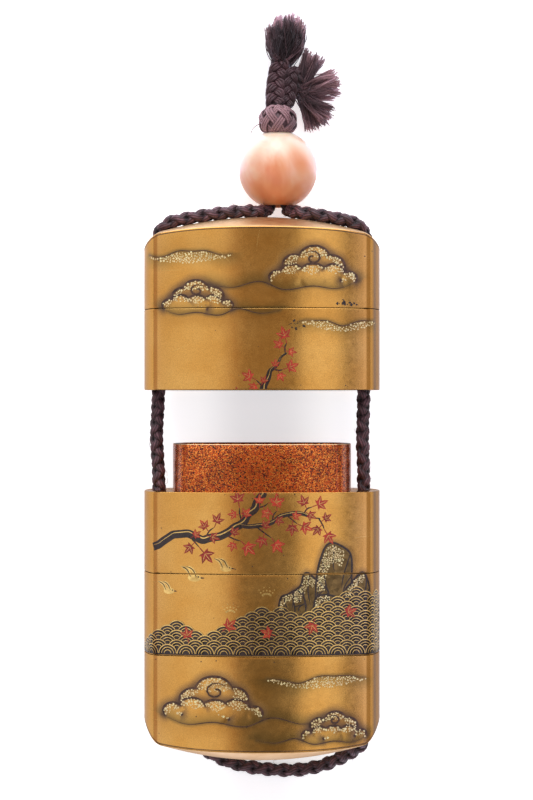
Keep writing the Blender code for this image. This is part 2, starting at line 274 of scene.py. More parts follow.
def gold_ground():
    """Gold powder under clear lacquer, with dark and green powder and a darker gold where attributes
    say so; down the round ends the dark powder and the darker gold are painted shade.
    """
    gold = Surface("gold ground")
    patches = gold.ramp(gold.noise(130, 4.0), (0.3, (0.68, 0.345, 0.082)), (0.72, (0.76, 0.43, 0.125)))
    grain = gold.ramp(gold.noise(5200, 2.0), (0.32, (0.86, 0.84, 0.79)), (0.62, (1.05, 1.03, 1.0)))
    colour = gold.multiply(patches, grain)
    # The dark powder and the darker gold are the picture's own, and painted shade down the round ends.
    for powder, tint in (("age", (0.33, 0.135, 0.024)), ("green", (0.16, 0.125, 0.045)),
                         ("soot", (0.042, 0.027, 0.034))):
        colour = gold.blend(gold.attribute(powder), colour, tint)
    gold.bump(gold.noise(2600), 0.06)
    return gold.shade({"Base Color": colour, "Specular Tint": (0.89, 0.79, 0.65),
                       "Metallic": gold.spread(gold.attribute("soot"), (0.0, 1.0), (1.0, 0.25)),
                       "Roughness": gold.uneven(0.14, 0.21, 900)})


def pale_dull_gold():
    """The paler, duller gold of the domed ends and of the risers' rims."""
    gold = Surface("pale dull gold")
    colour = gold.ramp(gold.noise(160, 4.0), (0.3, (0.60, 0.375, 0.17)), (0.7, (0.69, 0.465, 0.25)))
    gold.bump(gold.noise(2600), 0.08)
    return gold.shade({"Base Color": colour, "Metallic": 1.0, "Specular Tint": (0.83, 0.75, 0.665),
                       "Roughness": gold.uneven(0.36, 0.46, 900)})


def nashiji():
    """Orange lacquer full of gold flecks and dark specks, as inside the cases."""
    orange = Surface("nashiji")
    fleck = orange.cells(5600)
    colour = orange.ramp(fleck, (0.0, (0.030, 0.006, 0.003)), (0.24, (0.10, 0.014, 0.004)),
                         (0.42, (0.44, 0.053, 0.008)), (0.76, (0.72, 0.15, 0.020)),
                         (0.94, (0.95, 0.37, 0.080)))
    patches = orange.ramp(orange.noise(220), (0.3, (0.72, 0.70, 0.70)), (0.7, (1.1, 1.08, 1.05)))
    orange.bump(fleck, 0.12)
    return orange.shade({"Base Color": orange.multiply(colour, patches),
                         "Metallic": orange.spread(fleck, (0.38, 0.78), (0.0, 0.95)), "Roughness": 0.20,
                         "Specular IOR Level": 0.25, "Coat Weight": 0.05, "Coat Roughness": 0.12})


def dark_lacquer():
    dark = Surface("dark lacquer")
    colour = dark.ramp(dark.noise(900), (0.35, (0.018, 0.008, 0.008)), (0.7, (0.06, 0.028, 0.022)))
    return dark.shade({"Base Color": colour, "Roughness": dark.uneven(0.25, 0.45, 1500, 2.0)})


def silk():
    """Dark brown plum silk: mauve where it is faded and where its sheen catches the light, with
    painted shade deep in its yarns and painted highlight on their outer faces.
    """
    plum = Surface("silk")
    base = plum.ramp(plum.noise(650), (0.3, (0.036, 0.015, 0.016)), (0.55, (0.078, 0.033, 0.036)),
                     (0.78, (0.150, 0.070, 0.079)))
    tip = plum.attribute("tip")
    paled = plum.blend(tip, base, (0.41, 0.238, 0.232))
    colour = plum.blend(plum.spread(tip, (0.75, 1.0), (0.0, 0.8)), paled, (0.38, 0.245, 0.285))
    thread = plum.attribute("thread", "Vector")
    # Painted shade and highlight: darker where a point lies deep on its yarn, lighter on outer faces.
    outness = plum.spread(plum.axis("Z", thread), (-1.0, 1.0), (0.0, 1.0))
    deep = plum.ramp(outness, (0.30, (0.08, 0.06, 0.07)), (0.70, (0.46, 0.43, 0.45)),
                     (0.99, (1.45, 1.45, 1.45)))
    blotches = plum.ramp(plum.noise(6000, 2.0), (0.35, (0.74, 0.72, 0.74)), (0.65, (1.2, 1.15, 1.2)))
    turn = plum.number("ARCTAN2", plum.axis("Y", thread), plum.axis("X", thread))
    wave = plum.number("SINE", plum.number("MULTIPLY", turn, THREADS))
    threads = plum.ramp(plum.spread(wave, (-1.0, 1.0), (0.0, 1.0)), (0.0, (0.42, 0.40, 0.40)),
                        (0.45, (1.0, 1.0, 1.0)), (1.0, (1.5, 1.46, 1.48)))
    for shade in (deep, blotches, threads):
        colour = plum.multiply(colour, shade)
    plum.bump(wave, 0.5, 0.00007)
    return plum.shade({"Base Color": colour, "Roughness": 0.50, "Sheen Weight": 0.18, "Sheen Roughness": 0.4,
                       "Sheen Tint": (0.84, 0.52, 0.56)})


def pink_coral():
    """Polished pink coral with soft veins: pale over its top and its left, partly its own paler
    parts and partly painted highlight, and deep orange below.
    """
    coral = Surface("pink coral")
    stretched = coral.node("ShaderNodeMapping", "Vector", {
        "Vector": coral.place(), "Rotation": (0.2, 0.1, 0.15), "Scale": (1.7, 0.7, 1.0)})
    swirl = coral.node("ShaderNodeTexNoise", "Fac", {
        "Vector": stretched, "Scale": 105, "Detail": 3.0, "Distortion": 0.9})
    veins = coral.ramp(swirl, (0.28, (0.80, 0.21, 0.065)), (0.46, (0.86, 0.29, 0.11)),
                       (0.62, (0.90, 0.38, 0.17)), (0.80, (0.94, 0.53, 0.31)))
    # Paler towards the top and the left: partly the coral's own pale parts, partly painted highlight.
    centred = coral.node("ShaderNodeMapping", "Vector", {
        "Vector": coral.place(), "Location": tuple(-c / BEAD_RADIUS for c in BEAD_CENTRE),
        "Scale": (1 / (BEAD_RADIUS * MM),) * 3})
    across = coral.axis("X", centred)
    height = coral.number("MULTIPLY", coral.axis("Y", centred), 0.85)
    aside = coral.number("MULTIPLY", coral.number("SUBTRACT", across, 1.0), across)
    pale_side_and_painted_light = coral.number("ADD", height, coral.number("MULTIPLY", aside, 0.30))
    broken = coral.number("ADD", pale_side_and_painted_light, coral.number("MULTIPLY", swirl, 0.9))
    pale = coral.spread(broken, (0.46, 1.25), (0.0, 0.92))
    return coral.shade({"Base Color": coral.blend(pale, veins, (0.95, 0.78, 0.58)),
                        "Subsurface Weight": 0.25, "Subsurface Radius": (0.0030, 0.0012, 0.0006),
                        "Subsurface Scale": 0.5, "IOR": 1.6, "Coat Weight": 0.8, "Coat IOR": 1.6,
                        "Coat Roughness": 0.30, "Roughness": coral.uneven(0.34, 0.46, 500, 2.0)})


def laid_paint(name, colour, roughness, metallic, scale, spread):
    """A painted or laid metal or lacquer whose tone and gloss vary from spot to spot."""
    paint = Surface(name)
    darker = tuple(c * (1 - spread) for c in colour)
    lighter = tuple(min(1.0, c * (1 + spread)) for c in colour)
    tone = paint.ramp(paint.cells(scale), (0.0, darker), (0.5, colour), (1.0, lighter))
    worn = paint.ramp(paint.noise(700), (0.30, (0.70, 0.68, 0.66)), (0.55, (1.0, 1.0, 1.0)))
    paint.bump(paint.noise(3000, 2.0), 0.12, 0.00004)
    return paint.shade({"Base Color": paint.multiply(tone, worn), "Metallic": metallic,
                        "Roughness": paint.uneven(0.8 * roughness, 1.25 * roughness, 2100, 2.0)})


CASE_MATERIALS = [gold_ground(), nashiji(), dark_lacquer(), pale_dull_gold()]
GOLD_FACE, INSIDE_FACE, DARK_FACE, PALE_DULL_FACE = range(4)
SILK = silk()
CORAL = pink_coral()
INKS = {"ink": laid_paint("black lacquer", (0.030, 0.016, 0.013), 0.28, 0.0, 1800, 0.35),
        "umber": laid_paint("umber lacquer", (0.085, 0.040, 0.024), 0.32, 0.3, 1500, 0.35),
        "bronze": laid_paint("bronze powder", (0.20, 0.125, 0.045), 0.34, 0.8, 1300, 0.30),
        "flake": laid_paint("laid gold flakes", (0.96, 0.76, 0.40), 0.36, 0.85, 2200, 0.20),
        "bright_gold": laid_paint("bright gold line", (0.90, 0.60, 0.20), 0.26, 0.95, 2000, 0.15),
        "red": laid_paint("red lacquer", (0.44, 0.036, 0.015), 0.32, 0.0, 1500, 0.22),
        "deep_red": laid_paint("deep red lacquer", (0.30, 0.024, 0.012), 0.34, 0.0, 1500, 0.22)}


# ---------------------------------------------------------------- camera, lights and floor

CAMERA_AT = (0.96, 9.48, 412.0)
CAMERA_LENS = 84.6
SENSOR_HEIGHT = 36.0
CLIP_START = 0.01             # metres
LIGHTS_Z = 750.0
SIDE_X = 990.0                # where the lights overhead end and the side walls stand
ROOM_Y = (-450, 560)
WARM_WHITE = (1.0, 0.985, 0.96)
COOL_WHITE = (0.96, 0.98, 1.08)
PALE_BLUE = (0.84, 0.93, 1.30)
FACE_DOWN = (0, 0)
FACE_UP = (180, 0)
LIGHTS = (                    # name, X, Y, height, radiance, colour, tilt about X and Y in degrees
    ("left_edge_softbox", (-SIDE_X, -462), ROOM_Y, LIGHTS_Z, 0.70, (0.95, 0.96, 1.20), FACE_DOWN),
    ("left_middle_softbox", (-462, -405), ROOM_Y, LIGHTS_Z, 0.60, WARM_WHITE, FACE_DOWN),
    ("left_softbox", (-405, -142), ROOM_Y, LIGHTS_Z, 0.73, WARM_WHITE, FACE_DOWN),
    ("left_fringe", (-142, -104), ROOM_Y, LIGHTS_Z, 0.38, (1.0, 0.66, 0.50), FACE_DOWN),
    ("right_softbox", (155, 357), ROOM_Y, LIGHTS_Z, 0.85, WARM_WHITE, FACE_DOWN),
    ("right_edge_softbox", (434, SIDE_X), ROOM_Y, LIGHTS_Z, 0.76, (0.98, 1.0, 1.55), FACE_DOWN),
    ("upper_glow", (-110, 120), (-60, 480), LIGHTS_Z, 0.14, (1.0, 0.66, 0.34), FACE_DOWN),
    ("left_wall", (-SIDE_X - 360, -SIDE_X + 360), ROOM_Y, 385, 0.39, (1.0, 0.76, 0.84), (0, -90)),
    ("right_wall", (SIDE_X - 360, SIDE_X + 360), ROOM_Y, 385, 0.34, (1.0, 0.84, 0.74), (0, 90)),
    ("top_softbox", (-500, 400), (370, 1030), 420, 3.3, COOL_WHITE, (-58, 0)),
    ("foot_softbox", (-500, 400), (-1030, -370), 420, 0.5, COOL_WHITE, (58, 0)),
    ("foot_glow", (-60, 60), (-190, -80), 0.5, 0.9, PALE_BLUE, FACE_UP),
    ("head_glow", (-60, 60), (58, 150), 0.5, 1.1, PALE_BLUE, FACE_UP))
ROOM_COLOUR = (1.0, 0.92, 0.89, 1.0)
ROOM_STRENGTH = 0.22
FLOOR_SIZE = 4.0              # metres
FLOOR_GLOW = 0.16
FLOOR_GLOW_SEEN = 0.545       # by the camera, and more to both sides of the inro's middle line
# A painted light on the floor, seen by the camera, paler away from the inro's middle line.
FLOOR_PAINTED_LIGHT = 0.17
FLOOR_FADE = (0.003, 0.015)   # metres


def put_object(name, data):
    """A new object of the scene, from a mesh, a light or a camera."""
    holder = bpy.data.objects.new(name, data)
    bpy.context.scene.collection.objects.link(holder)
    return holder


def add_camera():
    camera = bpy.data.cameras.new("camera")
    camera.sensor_fit = "VERTICAL"
    camera.sensor_height = SENSOR_HEIGHT
    camera.lens = CAMERA_LENS
    camera.clip_start = CLIP_START
    holder = put_object("camera", camera)
    holder.location = Vector(CAMERA_AT) * MM
    bpy.context.scene.camera = holder


def add_lights():
    """Flat lights, each between two X values and two Y values before its tilt, and a faint room."""
    for name, (left, right), (low, high), height, radiance, colour, tilt in LIGHTS:
        light = bpy.data.lights.new(name, "AREA")
        light.shape = "RECTANGLE"
        light.size = (right - left) * MM
        light.size_y = (high - low) * MM
        light.energy = radiance * math.pi * light.size * light.size_y
        light.color = colour
        holder = put_object(name, light)
        holder.location = Vector((0.5 * (left + right), 0.5 * (low + high), height)) * MM
        holder.rotation_euler = (math.radians(tilt[0]), math.radians(tilt[1]), 0)
        holder.visible_camera = tilt != FACE_UP
    world = bpy.data.worlds.new("room")
    world.use_nodes = True
    background = world.node_tree.nodes["Background"]
    background.inputs["Color"].default_value = ROOM_COLOUR
    background.inputs["Strength"].default_value = ROOM_STRENGTH
    bpy.context.scene.world = world
    bpy.context.scene.view_settings.view_transform = "Standard"


def add_floor():
    """A pale floor. It shines a little for the camera, so that it looks as pale as paper, and more
    away from the inro's middle line, a painted light that fades the shade beside the inro.
    """
    bpy.ops.mesh.primitive_plane_add(size=FLOOR_SIZE, location=(0, 0, 0))
    floor = bpy.context.object
    floor.name = "floor"
    pale = Surface("pale floor")
    aside = pale.number("ABSOLUTE", pale.axis("X", pale.place()))
    # Painted light: paler for the camera away from the middle line.
    paler = pale.spread(aside, FLOOR_FADE, (0.0, FLOOR_PAINTED_LIGHT), "SMOOTHSTEP")
    seen = pale.number("ADD", paler, FLOOR_GLOW_SEEN - FLOOR_GLOW)
    for_camera = pale.number("MULTIPLY", pale.node("ShaderNodeLightPath", "Is Camera Ray"), seen)
    floor.data.materials.append(pale.shade({
        "Base Color": (0.84, 0.84, 0.85), "Roughness": 0.9, "Emission Color": (1.0, 1.0, 1.0),
        "Emission Strength": pale.number("ADD", for_camera, FLOOR_GLOW)}))


# ---------------------------------------------------------------- mesh helpers

WELD = 2e-6                   # metres
SHARP_ANGLE = 35


def new_mesh(name, points, faces, unit_length=MM):
    mesh = bpy.data.meshes.new(name)
    mesh.from_pydata([tuple(p) for p in points[:, :3] * unit_length], [], faces)
    return mesh


def set_attribute(mesh, name, values):
    """Gives each point of a mesh a number, or a row of three."""
    values = np.asarray(values, dtype=np.float32)
    kind, field = ("FLOAT", "value") if values.ndim == 1 else ("FLOAT_VECTOR", "vector")
    layer = mesh.attributes.new(name, kind, "POINT")
    layer.data.foreach_set(field, values.ravel())


def put_mesh(name, points, faces, materials, slot, indices=None, smooth=True):
    """An object of the points that rides with the inro.

    Silk's points have three more values: two say where they lie round their yarn, and the last
    how far out they are on it, from -1 to 1, which the silk shows as painted shade when low
    and painted highlight when high.
    """
    points = np.asarray(points, dtype=float)
    mesh = new_mesh(name, points, faces)
    if points.shape[1] > 3:
        set_attribute(mesh, "thread", points[:, 3:])
    for surface in materials:
        mesh.materials.append(surface)
    if indices is not None:
        mesh.polygons.foreach_set("material_index", indices)
    if smooth:
        mesh.shade_smooth()
    piece = put_object(name, mesh)
    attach(piece, "root")
    return piece


def outward_faces(mesh, weld=False):
    """Turns all faces outwards; weld first joins the points that lie on each other."""
    bm = bmesh.new()
    bm.from_mesh(mesh)
    if weld:
        bmesh.ops.remove_doubles(bm, verts=bm.verts, dist=WELD)
        bmesh.ops.dissolve_degenerate(bm, dist=WELD / 2, edges=bm.edges)
    bmesh.ops.recalc_face_normals(bm, faces=bm.faces)
    bm.to_mesh(mesh)
    bm.free()


def gone_along(line):
    """The distance gone along a line at each of its points."""
    return np.concatenate([[0], np.cumsum(np.linalg.norm(np.diff(line, axis=0), axis=1))])


def smooth_line(points, step):
    """Evenly spaced points on a smooth curve through the given ones."""
    knots = [Vector(point) for point in points]
    ends = [knots[0], *knots, knots[-1]]
    tangents = [(after - before).normalized() for before, after in zip(ends, ends[2:])]
    dense = [knots[0]]
    for i in range(len(knots) - 1):
        span = (knots[i + 1] - knots[i]).length
        start = knots[i] + tangents[i] * span / 3
        end = knots[i + 1] - tangents[i + 1] * span / 3
        dense += interpolate_bezier(knots[i], start, end, knots[i + 1], 40)[1:]
    dense = np.array([tuple(p) for p in dense])
    gone = gone_along(dense)
    at = np.linspace(0, gone[-1], max(2, round(gone[-1] / step) + 1))
    return np.stack([np.interp(at, gone, axis) for axis in dense.T], axis=1)


def smooth_step(t):
    t = np.clip(t, 0, 1)
    return t * t * (3 - 2 * t)


def unit(vectors):
    return vectors / np.maximum(np.linalg.norm(vectors, axis=-1, keepdims=True), 1e-12)


def directions(line):
    return unit(np.gradient(line, axis=0))


def turned_frames(line):
    """Two sideways directions at each point of a line, which turn as little as they can."""
    ahead = directions(line)
    side = np.zeros_like(ahead)
    first = np.cross(ahead[0], (0.0, 0.0, 1.0))
    if np.linalg.norm(first) < 0.1:
        first = np.cross(ahead[0], (1.0, 0.0, 0.0))
    side[0] = unit(first)
    for i in range(1, len(line)):
        side[i] = unit(side[i - 1] - ahead[i] * side[i - 1].dot(ahead[i]))
    return side, np.cross(ahead, side)


def around(angle, side, up):
    """Directions at angles between two sideways directions."""
    return np.cos(angle)[..., None] * side + np.sin(angle)[..., None] * up


def polar(place, reach, angle):
    """The place at a distance and an angle, in radians, from another place."""
    return np.stack([place[0] + reach * np.cos(angle), place[1] + reach * np.sin(angle)], axis=-1)


def ring_faces(rings, sides, closed=False):
    """The faces between rings of points; closed joins the last ring to the first."""
    faces = []
    for i in range(rings if closed else rings - 1):
        here = i * sides
        there = (i + 1) % rings * sides
        for j in range(sides):
            after = (j + 1) % sides
            faces.append((here + j, here + after, there + after, there + j))
    return faces


def ring_mesh(rings):
    """Points and faces of a tube with the given rings of points, closed at both ends."""
    count, sides = rings.shape[:2]
    faces = ring_faces(count, sides)
    faces.append(tuple(range(sides))[::-1])
    faces.append(tuple((count - 1) * sides + j for j in range(sides)))
    return rings.reshape(count * sides, -1), faces


def tube(line, radius, sides):
    """A round tube along a line; radius is a number for each of its points."""
    side, up = turned_frames(line)
    turn = np.linspace(0, 2 * np.pi, sides, endpoint=False)
    return ring_mesh(line[:, None] + radius[:, None, None] * around(turn, side[:, None], up[:, None]))


def fibre(line, radius, sides=4):
    """A thin thread that tapers a little to its tip."""
    return tube(line, radius * np.linspace(1.0, 0.6, len(line)), sides)


def yarn(line, outward, wide, thick, sides=12, twist=1.3, ridge=0.10):
    """A twisted yarn along a line, flattened square to outward; returns points and faces."""
    ahead = directions(line)
    out = unit(outward - ahead * np.sum(outward * ahead, axis=1, keepdims=True))
    across = np.cross(ahead, out)
    corner = np.arange(sides)
    turn = 2 * np.pi * corner / sides
    angle = turn + twist * gone_along(line)[:, None]
    swell = 1 + ridge * (-1.0) ** corner
    wide, thick = (np.broadcast_to(size, len(line))[:, None] for size in (wide, thick))
    aside = (wide * np.cos(angle) * swell)[..., None] * across[:, None]
    proud = (thick * np.sin(angle) * swell)[..., None] * out[:, None]
    turn = np.broadcast_to(turn, angle.shape)
    place = np.stack([np.cos(turn), np.sin(turn), np.sin(angle)], axis=2)
    return ring_mesh(np.concatenate([line[:, None] + aside + proud, place], axis=2))


def unspun(part, outness=0.4):
    """A part of the silk that is no yarn, with the three values that a yarn's points have."""
    points, faces = part
    return np.c_[points, np.ones(len(points)), np.zeros(len(points)), np.full(len(points), outness)], faces


def joined(parts):
    """Several lists of points and faces as one."""
    points = []
    faces = []
    start = 0
    for some_points, some_faces in parts:
        points.append(np.asarray(some_points))
        faces += [tuple(start + k for k in face) for face in some_faces]
        start += len(some_points)
    return np.concatenate(points), faces


# ---------------------------------------------------------------- the cord


def braid(line, radius):
    """Four yarns braided round a core; radius is a number for each point of the line."""
    side, up = turned_frames(line)
    turn = 2 * np.pi * gone_along(line) / BRAID_PERIOD
    reach, sway, wide, thick = BRAID_YARN
    parts = []
    for k in range(4):
        way = (-1) ** k
        out = around(way * turn + 0.5 * math.pi * k, side, up)
        far = radius * (reach + sway * way * np.sin(2 * turn))
        parts.append(yarn(line + far[:, None] * out, out, wide * radius, thick * radius,
                          twist=0.9 * way, ridge=0.06))
    parts.append(yarn(line, up, CORE_YARN * radius, CORE_YARN * radius, sides=8))
    return joined(parts)


def stray_fibres(chance, line):
    """Short hairs that stand out of the cord here and there."""
    side, up = turned_frames(line)
    ahead = directions(line)
    parts = []
    for _ in range(STRAY_HAIRS):
        at = chance.randrange(2, len(line) - 2)
        out = around(chance.uniform(0, 2 * math.pi), side[at], up[at])
        start = line[at] + 0.8 * CORD_RADIUS * out
        bend = start + chance.uniform(0.3, 0.8) * out + chance.uniform(-0.5, 0.5) * ahead[at]
        end = bend + chance.uniform(0.1, 0.5) * out + chance.uniform(-1.1, 1.1) * ahead[at]
        hair = smooth_line([start, bend, end], 0.25)
        hair[:, 2] = np.maximum(hair[:, 2], 0.1)
        parts.append(unspun(fibre(hair, 0.05, 3)))
    return parts


def in_millimetres(route):
    return [Vector(point) / MM for point in route]


def add_cord():
    """The cord, and the line that it follows."""
    route = (BEAD_LEFT + OVER_LID_LEFT + CHANNEL_LEFT + LOOP + CHANNEL_RIGHT + OVER_LID_RIGHT
             + BEAD_RIGHT)
    line = smooth_line(in_millimetres(route), 0.4)
    bead_low = BEAD_CENTRE[1] - BEAD_RADIUS
    radius = np.where(line[:, 1] > bead_low, BEAD_SQUEEZE, 1.0) * CORD_RADIUS
    hairs = stray_fibres(random.Random(4), line)
    points, faces = joined([braid(line, radius), *hairs])
    cord = put_mesh("silk_cord", points, faces, [SILK], "silk_cord")
    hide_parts("cord")
    return cord, line


# ---------------------------------------------------------------- the cases

BROAD_STEPS, CREASE_STEPS, END_STEPS = 70, 9, 22


class Outline:
    """A case's cross-section, by the distance along it from the middle of the front."""

    def __init__(self, half_width, half_thickness, crease, rounding):
        edge, height = crease
        sag = half_thickness - height
        broad = (edge ** 2 + sag ** 2) / (2 * sag)
        broad_z = half_thickness - broad
        end_x = (half_width ** 2 - edge ** 2 - height ** 2) / (2 * (half_width - edge))
        end = half_width - end_x
        apart = math.hypot(end_x, broad_z)
        along = ((broad - rounding) ** 2 - (end - rounding) ** 2 + apart ** 2) / (2 * apart)
        aside = math.sqrt((broad - rounding) ** 2 - along ** 2)
        to_end = Vector((end_x, -broad_z)) / apart
        corner = Vector((0, broad_z)) + along * to_end + aside * Vector((to_end.y, -to_end.x))
        broad_angle = math.atan2(corner.y - broad_z, corner.x)
        end_angle = math.atan2(corner.y, corner.x - end_x)
        arcs = (((0, broad_z), broad, math.pi / 2, broad_angle, BROAD_STEPS),
                (tuple(corner), rounding, broad_angle, end_angle, CREASE_STEPS),
                ((end_x, 0), end, end_angle, 0.0, END_STEPS))
        quarter = [(0.0, half_thickness)]
        for centre, radius, first, last, steps in arcs:
            quarter += [tuple(p) for p in polar(centre, radius, np.linspace(first, last, steps + 1)[1:])]
        right = quarter + [(x, -z) for x, z in reversed(quarter[:-1])]
        self.points = np.array([(-x, z) for x, z in reversed(right[1:])] + right)
        gone = gone_along(self.points)
        self.half_length = gone[-1] / 2
        self.along = gone - self.half_length
        tangent = directions(self.points)
        tangent[0] = tangent[-1] = (-1.0, 0.0)
        self.normals = np.stack([-tangent[:, 1], tangent[:, 0]], axis=1)

    def ring(self, inset, height):
        """A closed ring of points, moved inwards, at one height or at the height of a domed end."""
        x, z = (self.points - inset * self.normals)[:-1].T
        y = height(x, z) if callable(height) else np.full(len(x), height)
        return np.stack([x, y, z + MIDDLE_Z], axis=1)

    def at(self, along, proud=0.0):
        """Places on the outline, or proud of it, at distances along it."""
        along = (np.asarray(along) + self.half_length) % (2 * self.half_length) - self.half_length
        place = [np.interp(along, self.along, axis) for axis in self.points.T]
        normal = unit(np.stack([np.interp(along, self.along, axis) for axis in self.normals.T], axis=-1))
        return place[0] + proud * normal[..., 0], place[1] + proud * normal[..., 1]

    def where(self, x, z):
        """The distance along the outline of points on it."""
        turn = np.arctan2(self.points[:, 0], self.points[:, 1])
        turn[0] = -np.pi
        turn[-1] = np.pi
        return np.interp(np.arctan2(x, z), turn, self.along)


OUTER = Outline(HALF_WIDTH, HALF_THICKNESS, CREASE, CREASE_ROUNDING)
RISER = Outline(RISER_HALF_WIDTH, RISER_HALF_THICKNESS, RISER_CREASE, RISER_ROUNDING)
WALL_STEP = 0.42
DOME_ROWS = 22
CHANNEL_SIDES = 24


def end_drop(x, z, end):
    """How far a domed end, LID_END or BASE_END, stands back from its highest point."""
    arch_drop, corner_bend, radius = end
    side = np.abs(x)
    share = (side / ARCH_HALF_WIDTH) ** 2
    corner = corner_bend * np.maximum(0.0, side - CORNER_START) ** 2
    cushion = radius - np.sqrt(radius ** 2 - z ** 2)
    return arch_drop * share + corner + (1 - CUSHION_FADE * np.minimum(share, 1.0)) * cushion


def lid_height(x, z):
    return LID_TOP_Y - end_drop(x, z, LID_END)


def base_height(x, z):
    return BASE_Y + end_drop(x, z, BASE_END)


def wall(lower, upper):
    """The rings of an outer wall between two rings, close enough for soft painted shades."""
    rows = round(float(np.max(upper[:, 1] - lower[:, 1])) / WALL_STEP)
    return [lower + (upper - lower) * i / rows for i in range(1, rows + 1)]


def dome_strips(rim, height):
    """The domed end inside its rim: strips from front to back, in the rim's own columns."""
    quarter = len(rim) // 4
    points = []
    for i in range(2 * quarter + 1):
        front = rim[(quarter + i) % len(rim)]
        back = rim[(quarter - i) % len(rim)]
        for j in range(DOME_ROWS + 1):
            x, _, z = front + (back - front) * j / DOME_ROWS
            points.append((x, height(x, z - MIDDLE_Z), z))
    faces = []
    for i in range(2 * quarter):
        for j in range(DOME_ROWS):
            corner = i * (DOME_ROWS + 1) + j
            faces.append((corner, corner + 1, corner + DOME_ROWS + 2, corner + DOME_ROWS + 1))
    return points, faces


def domed_rim(height, inwards):
    """The rings round a domed end: its rim, its soft edge and the end of the wall."""
    return [OUTER.ring(EDGE, height), OUTER.ring(0.3 * EDGE, height) + (0, 0.3 * EDGE * inwards, 0),
            OUTER.ring(0.0, height) + (0, EDGE * inwards, 0)]


def build_case(name, rings, kinds, dome=None):
    """A case from its rings, in order from a flat cap or a dome to a flat cap."""
    sides = len(rings[0])
    points = np.concatenate(rings)
    faces = ring_faces(len(rings), sides)
    indices = [kind for kind in kinds for _ in range(sides)]
    caps = [tuple((len(rings) - 1) * sides + j for j in range(sides))]
    if dome is None:
        caps.append(tuple(range(sides)))
    faces += caps
    indices += [INSIDE_FACE] * len(caps)
    if dome is not None:
        indices += [PALE_DULL_FACE] * len(dome[1])
        points, faces = joined([(points, faces), dome])
    piece = put_mesh(name, points, faces, CASE_MATERIALS, "gold_lacquer", indices)
    outward_faces(piece.data, weld=True)
    piece.data.set_sharp_from_angle(angle=math.radians(SHARP_ANGLE))
    return piece


def below_rings(low, ceiling):
    """The recess under a case, and its rim, up to the foot of the outer wall."""
    rings = [RISER.ring(-RISER_PLAY, ceiling), RISER.ring(-RISER_PLAY, low + EDGE),
             RISER.ring(-RISER_PLAY - EDGE, low), OUTER.ring(EDGE, low),
             OUTER.ring(0.3 * EDGE, low + 0.3 * EDGE), OUTER.ring(0.0, low + EDGE)]
    return rings, [INSIDE_FACE, DARK_FACE, DARK_FACE, GOLD_FACE, GOLD_FACE]


def above_rings(top, floor, shoulder_face=DARK_FACE):
    """From the head of an outer wall, over the shoulder and the riser, to the floor."""
    shoulder = top - SEAM
    rim = top + RISER_HEIGHT - RISER_PLAY
    rings = [OUTER.ring(0.3 * EDGE, shoulder - 0.3 * EDGE), OUTER.ring(EDGE, shoulder),
             RISER.ring(0.0, shoulder), RISER.ring(0.0, rim - EDGE),
             RISER.ring(0.7 * EDGE, rim), RISER.ring(RISER_WALL - EDGE, rim),
             RISER.ring(RISER_WALL, rim - 2 * EDGE), RISER.ring(RISER_WALL, floor)]
    return rings, [GOLD_FACE, GOLD_FACE, shoulder_face, INSIDE_FACE, PALE_DULL_FACE, DARK_FACE,
                   INSIDE_FACE, INSIDE_FACE]


def middle_case(name, low, shoulder_face=DARK_FACE):
    top = low + CASE_HEIGHT
    ceiling = low + RISER_HEIGHT + HEAD_ROOM
    rings, kinds = below_rings(low, ceiling)
    rows = wall(rings[-1], OUTER.ring(0.0, top - SEAM - EDGE))
    over, over_kinds = above_rings(top, ceiling + FLOOR_THICKNESS, shoulder_face)
    return build_case(name, rings + rows + over, kinds + [GOLD_FACE] * len(rows) + over_kinds)


def lid_case():
    rings, kinds = below_rings(LID_Y, LID_TOP_Y - END_THICKNESS)
    rim, soft, edge = domed_rim(lid_height, -1)
    rows = wall(rings[-1], edge)
    kinds = [PALE_DULL_FACE] + [GOLD_FACE] * (1 + len(rows)) + kinds[::-1]
    return build_case("gold_lid", [rim, soft] + rows[::-1] + rings[::-1], kinds, dome_strips(rim, lid_height))


def base_case():
    rim, soft, edge = domed_rim(base_height, 1)
    rows = wall(edge, OUTER.ring(0.0, CASE_3_Y - SEAM - EDGE))
    over, over_kinds = above_rings(CASE_3_Y, BASE_Y + END_THICKNESS)
    kinds = [PALE_DULL_FACE] + [GOLD_FACE] * (1 + len(rows)) + over_kinds
    return build_case("gold_base", [rim, soft, edge] + rows + over, kinds, dome_strips(rim, base_height))


def channel_cutters():
    """The two tunnels that the cord runs in, as tubes that are taken out of the cases."""
    cutters = []
    for route in (OVER_LID_LEFT[-1:] + CHANNEL_LEFT + LOOP[:1],
                  LOOP[-1:] + CHANNEL_RIGHT + OVER_LID_RIGHT[:1]):
        line = smooth_line(in_millimetres(route), 1.5)
        mesh = new_mesh("channel", *tube(line, np.full(len(line), CHANNEL_RADIUS), CHANNEL_SIDES))
        for surface in CASE_MATERIALS:
            mesh.materials.append(surface)
        mesh.polygons.foreach_set("material_index", [DARK_FACE] * len(mesh.polygons))
        mesh.shade_smooth()
        outward_faces(mesh)
        cutters.append(put_object("channel", mesh))
    return cutters


def cut(piece, cutters):
    for cutter in cutters:
        change = piece.modifiers.new("channel", "BOOLEAN")
        change.object = cutter
        change.operation = "DIFFERENCE"
        change.solver = "EXACT"
    bpy.context.view_layer.update()
    graph = bpy.context.evaluated_depsgraph_get()
    mesh = bpy.data.meshes.new_from_object(piece.evaluated_get(graph))
    piece.modifiers.clear()
    piece.data = mesh


def add_cases():
    cases = {"lid": lid_case(),
             "case_1": middle_case("gold_case_1", CASE_1_Y),
             "case_2": middle_case("gold_case_2", CASE_2_Y, GOLD_FACE),
             "case_3": middle_case("gold_case_3", CASE_3_Y),
             "case_4_base": base_case()}
    cutters = channel_cutters()
    for node, piece in cases.items():
        cut(piece, cutters)
        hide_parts(node)
    for cutter in cutters:
        bpy.data.objects.remove(cutter)
    return cases


# ---------------------------------------------------------------- the bead


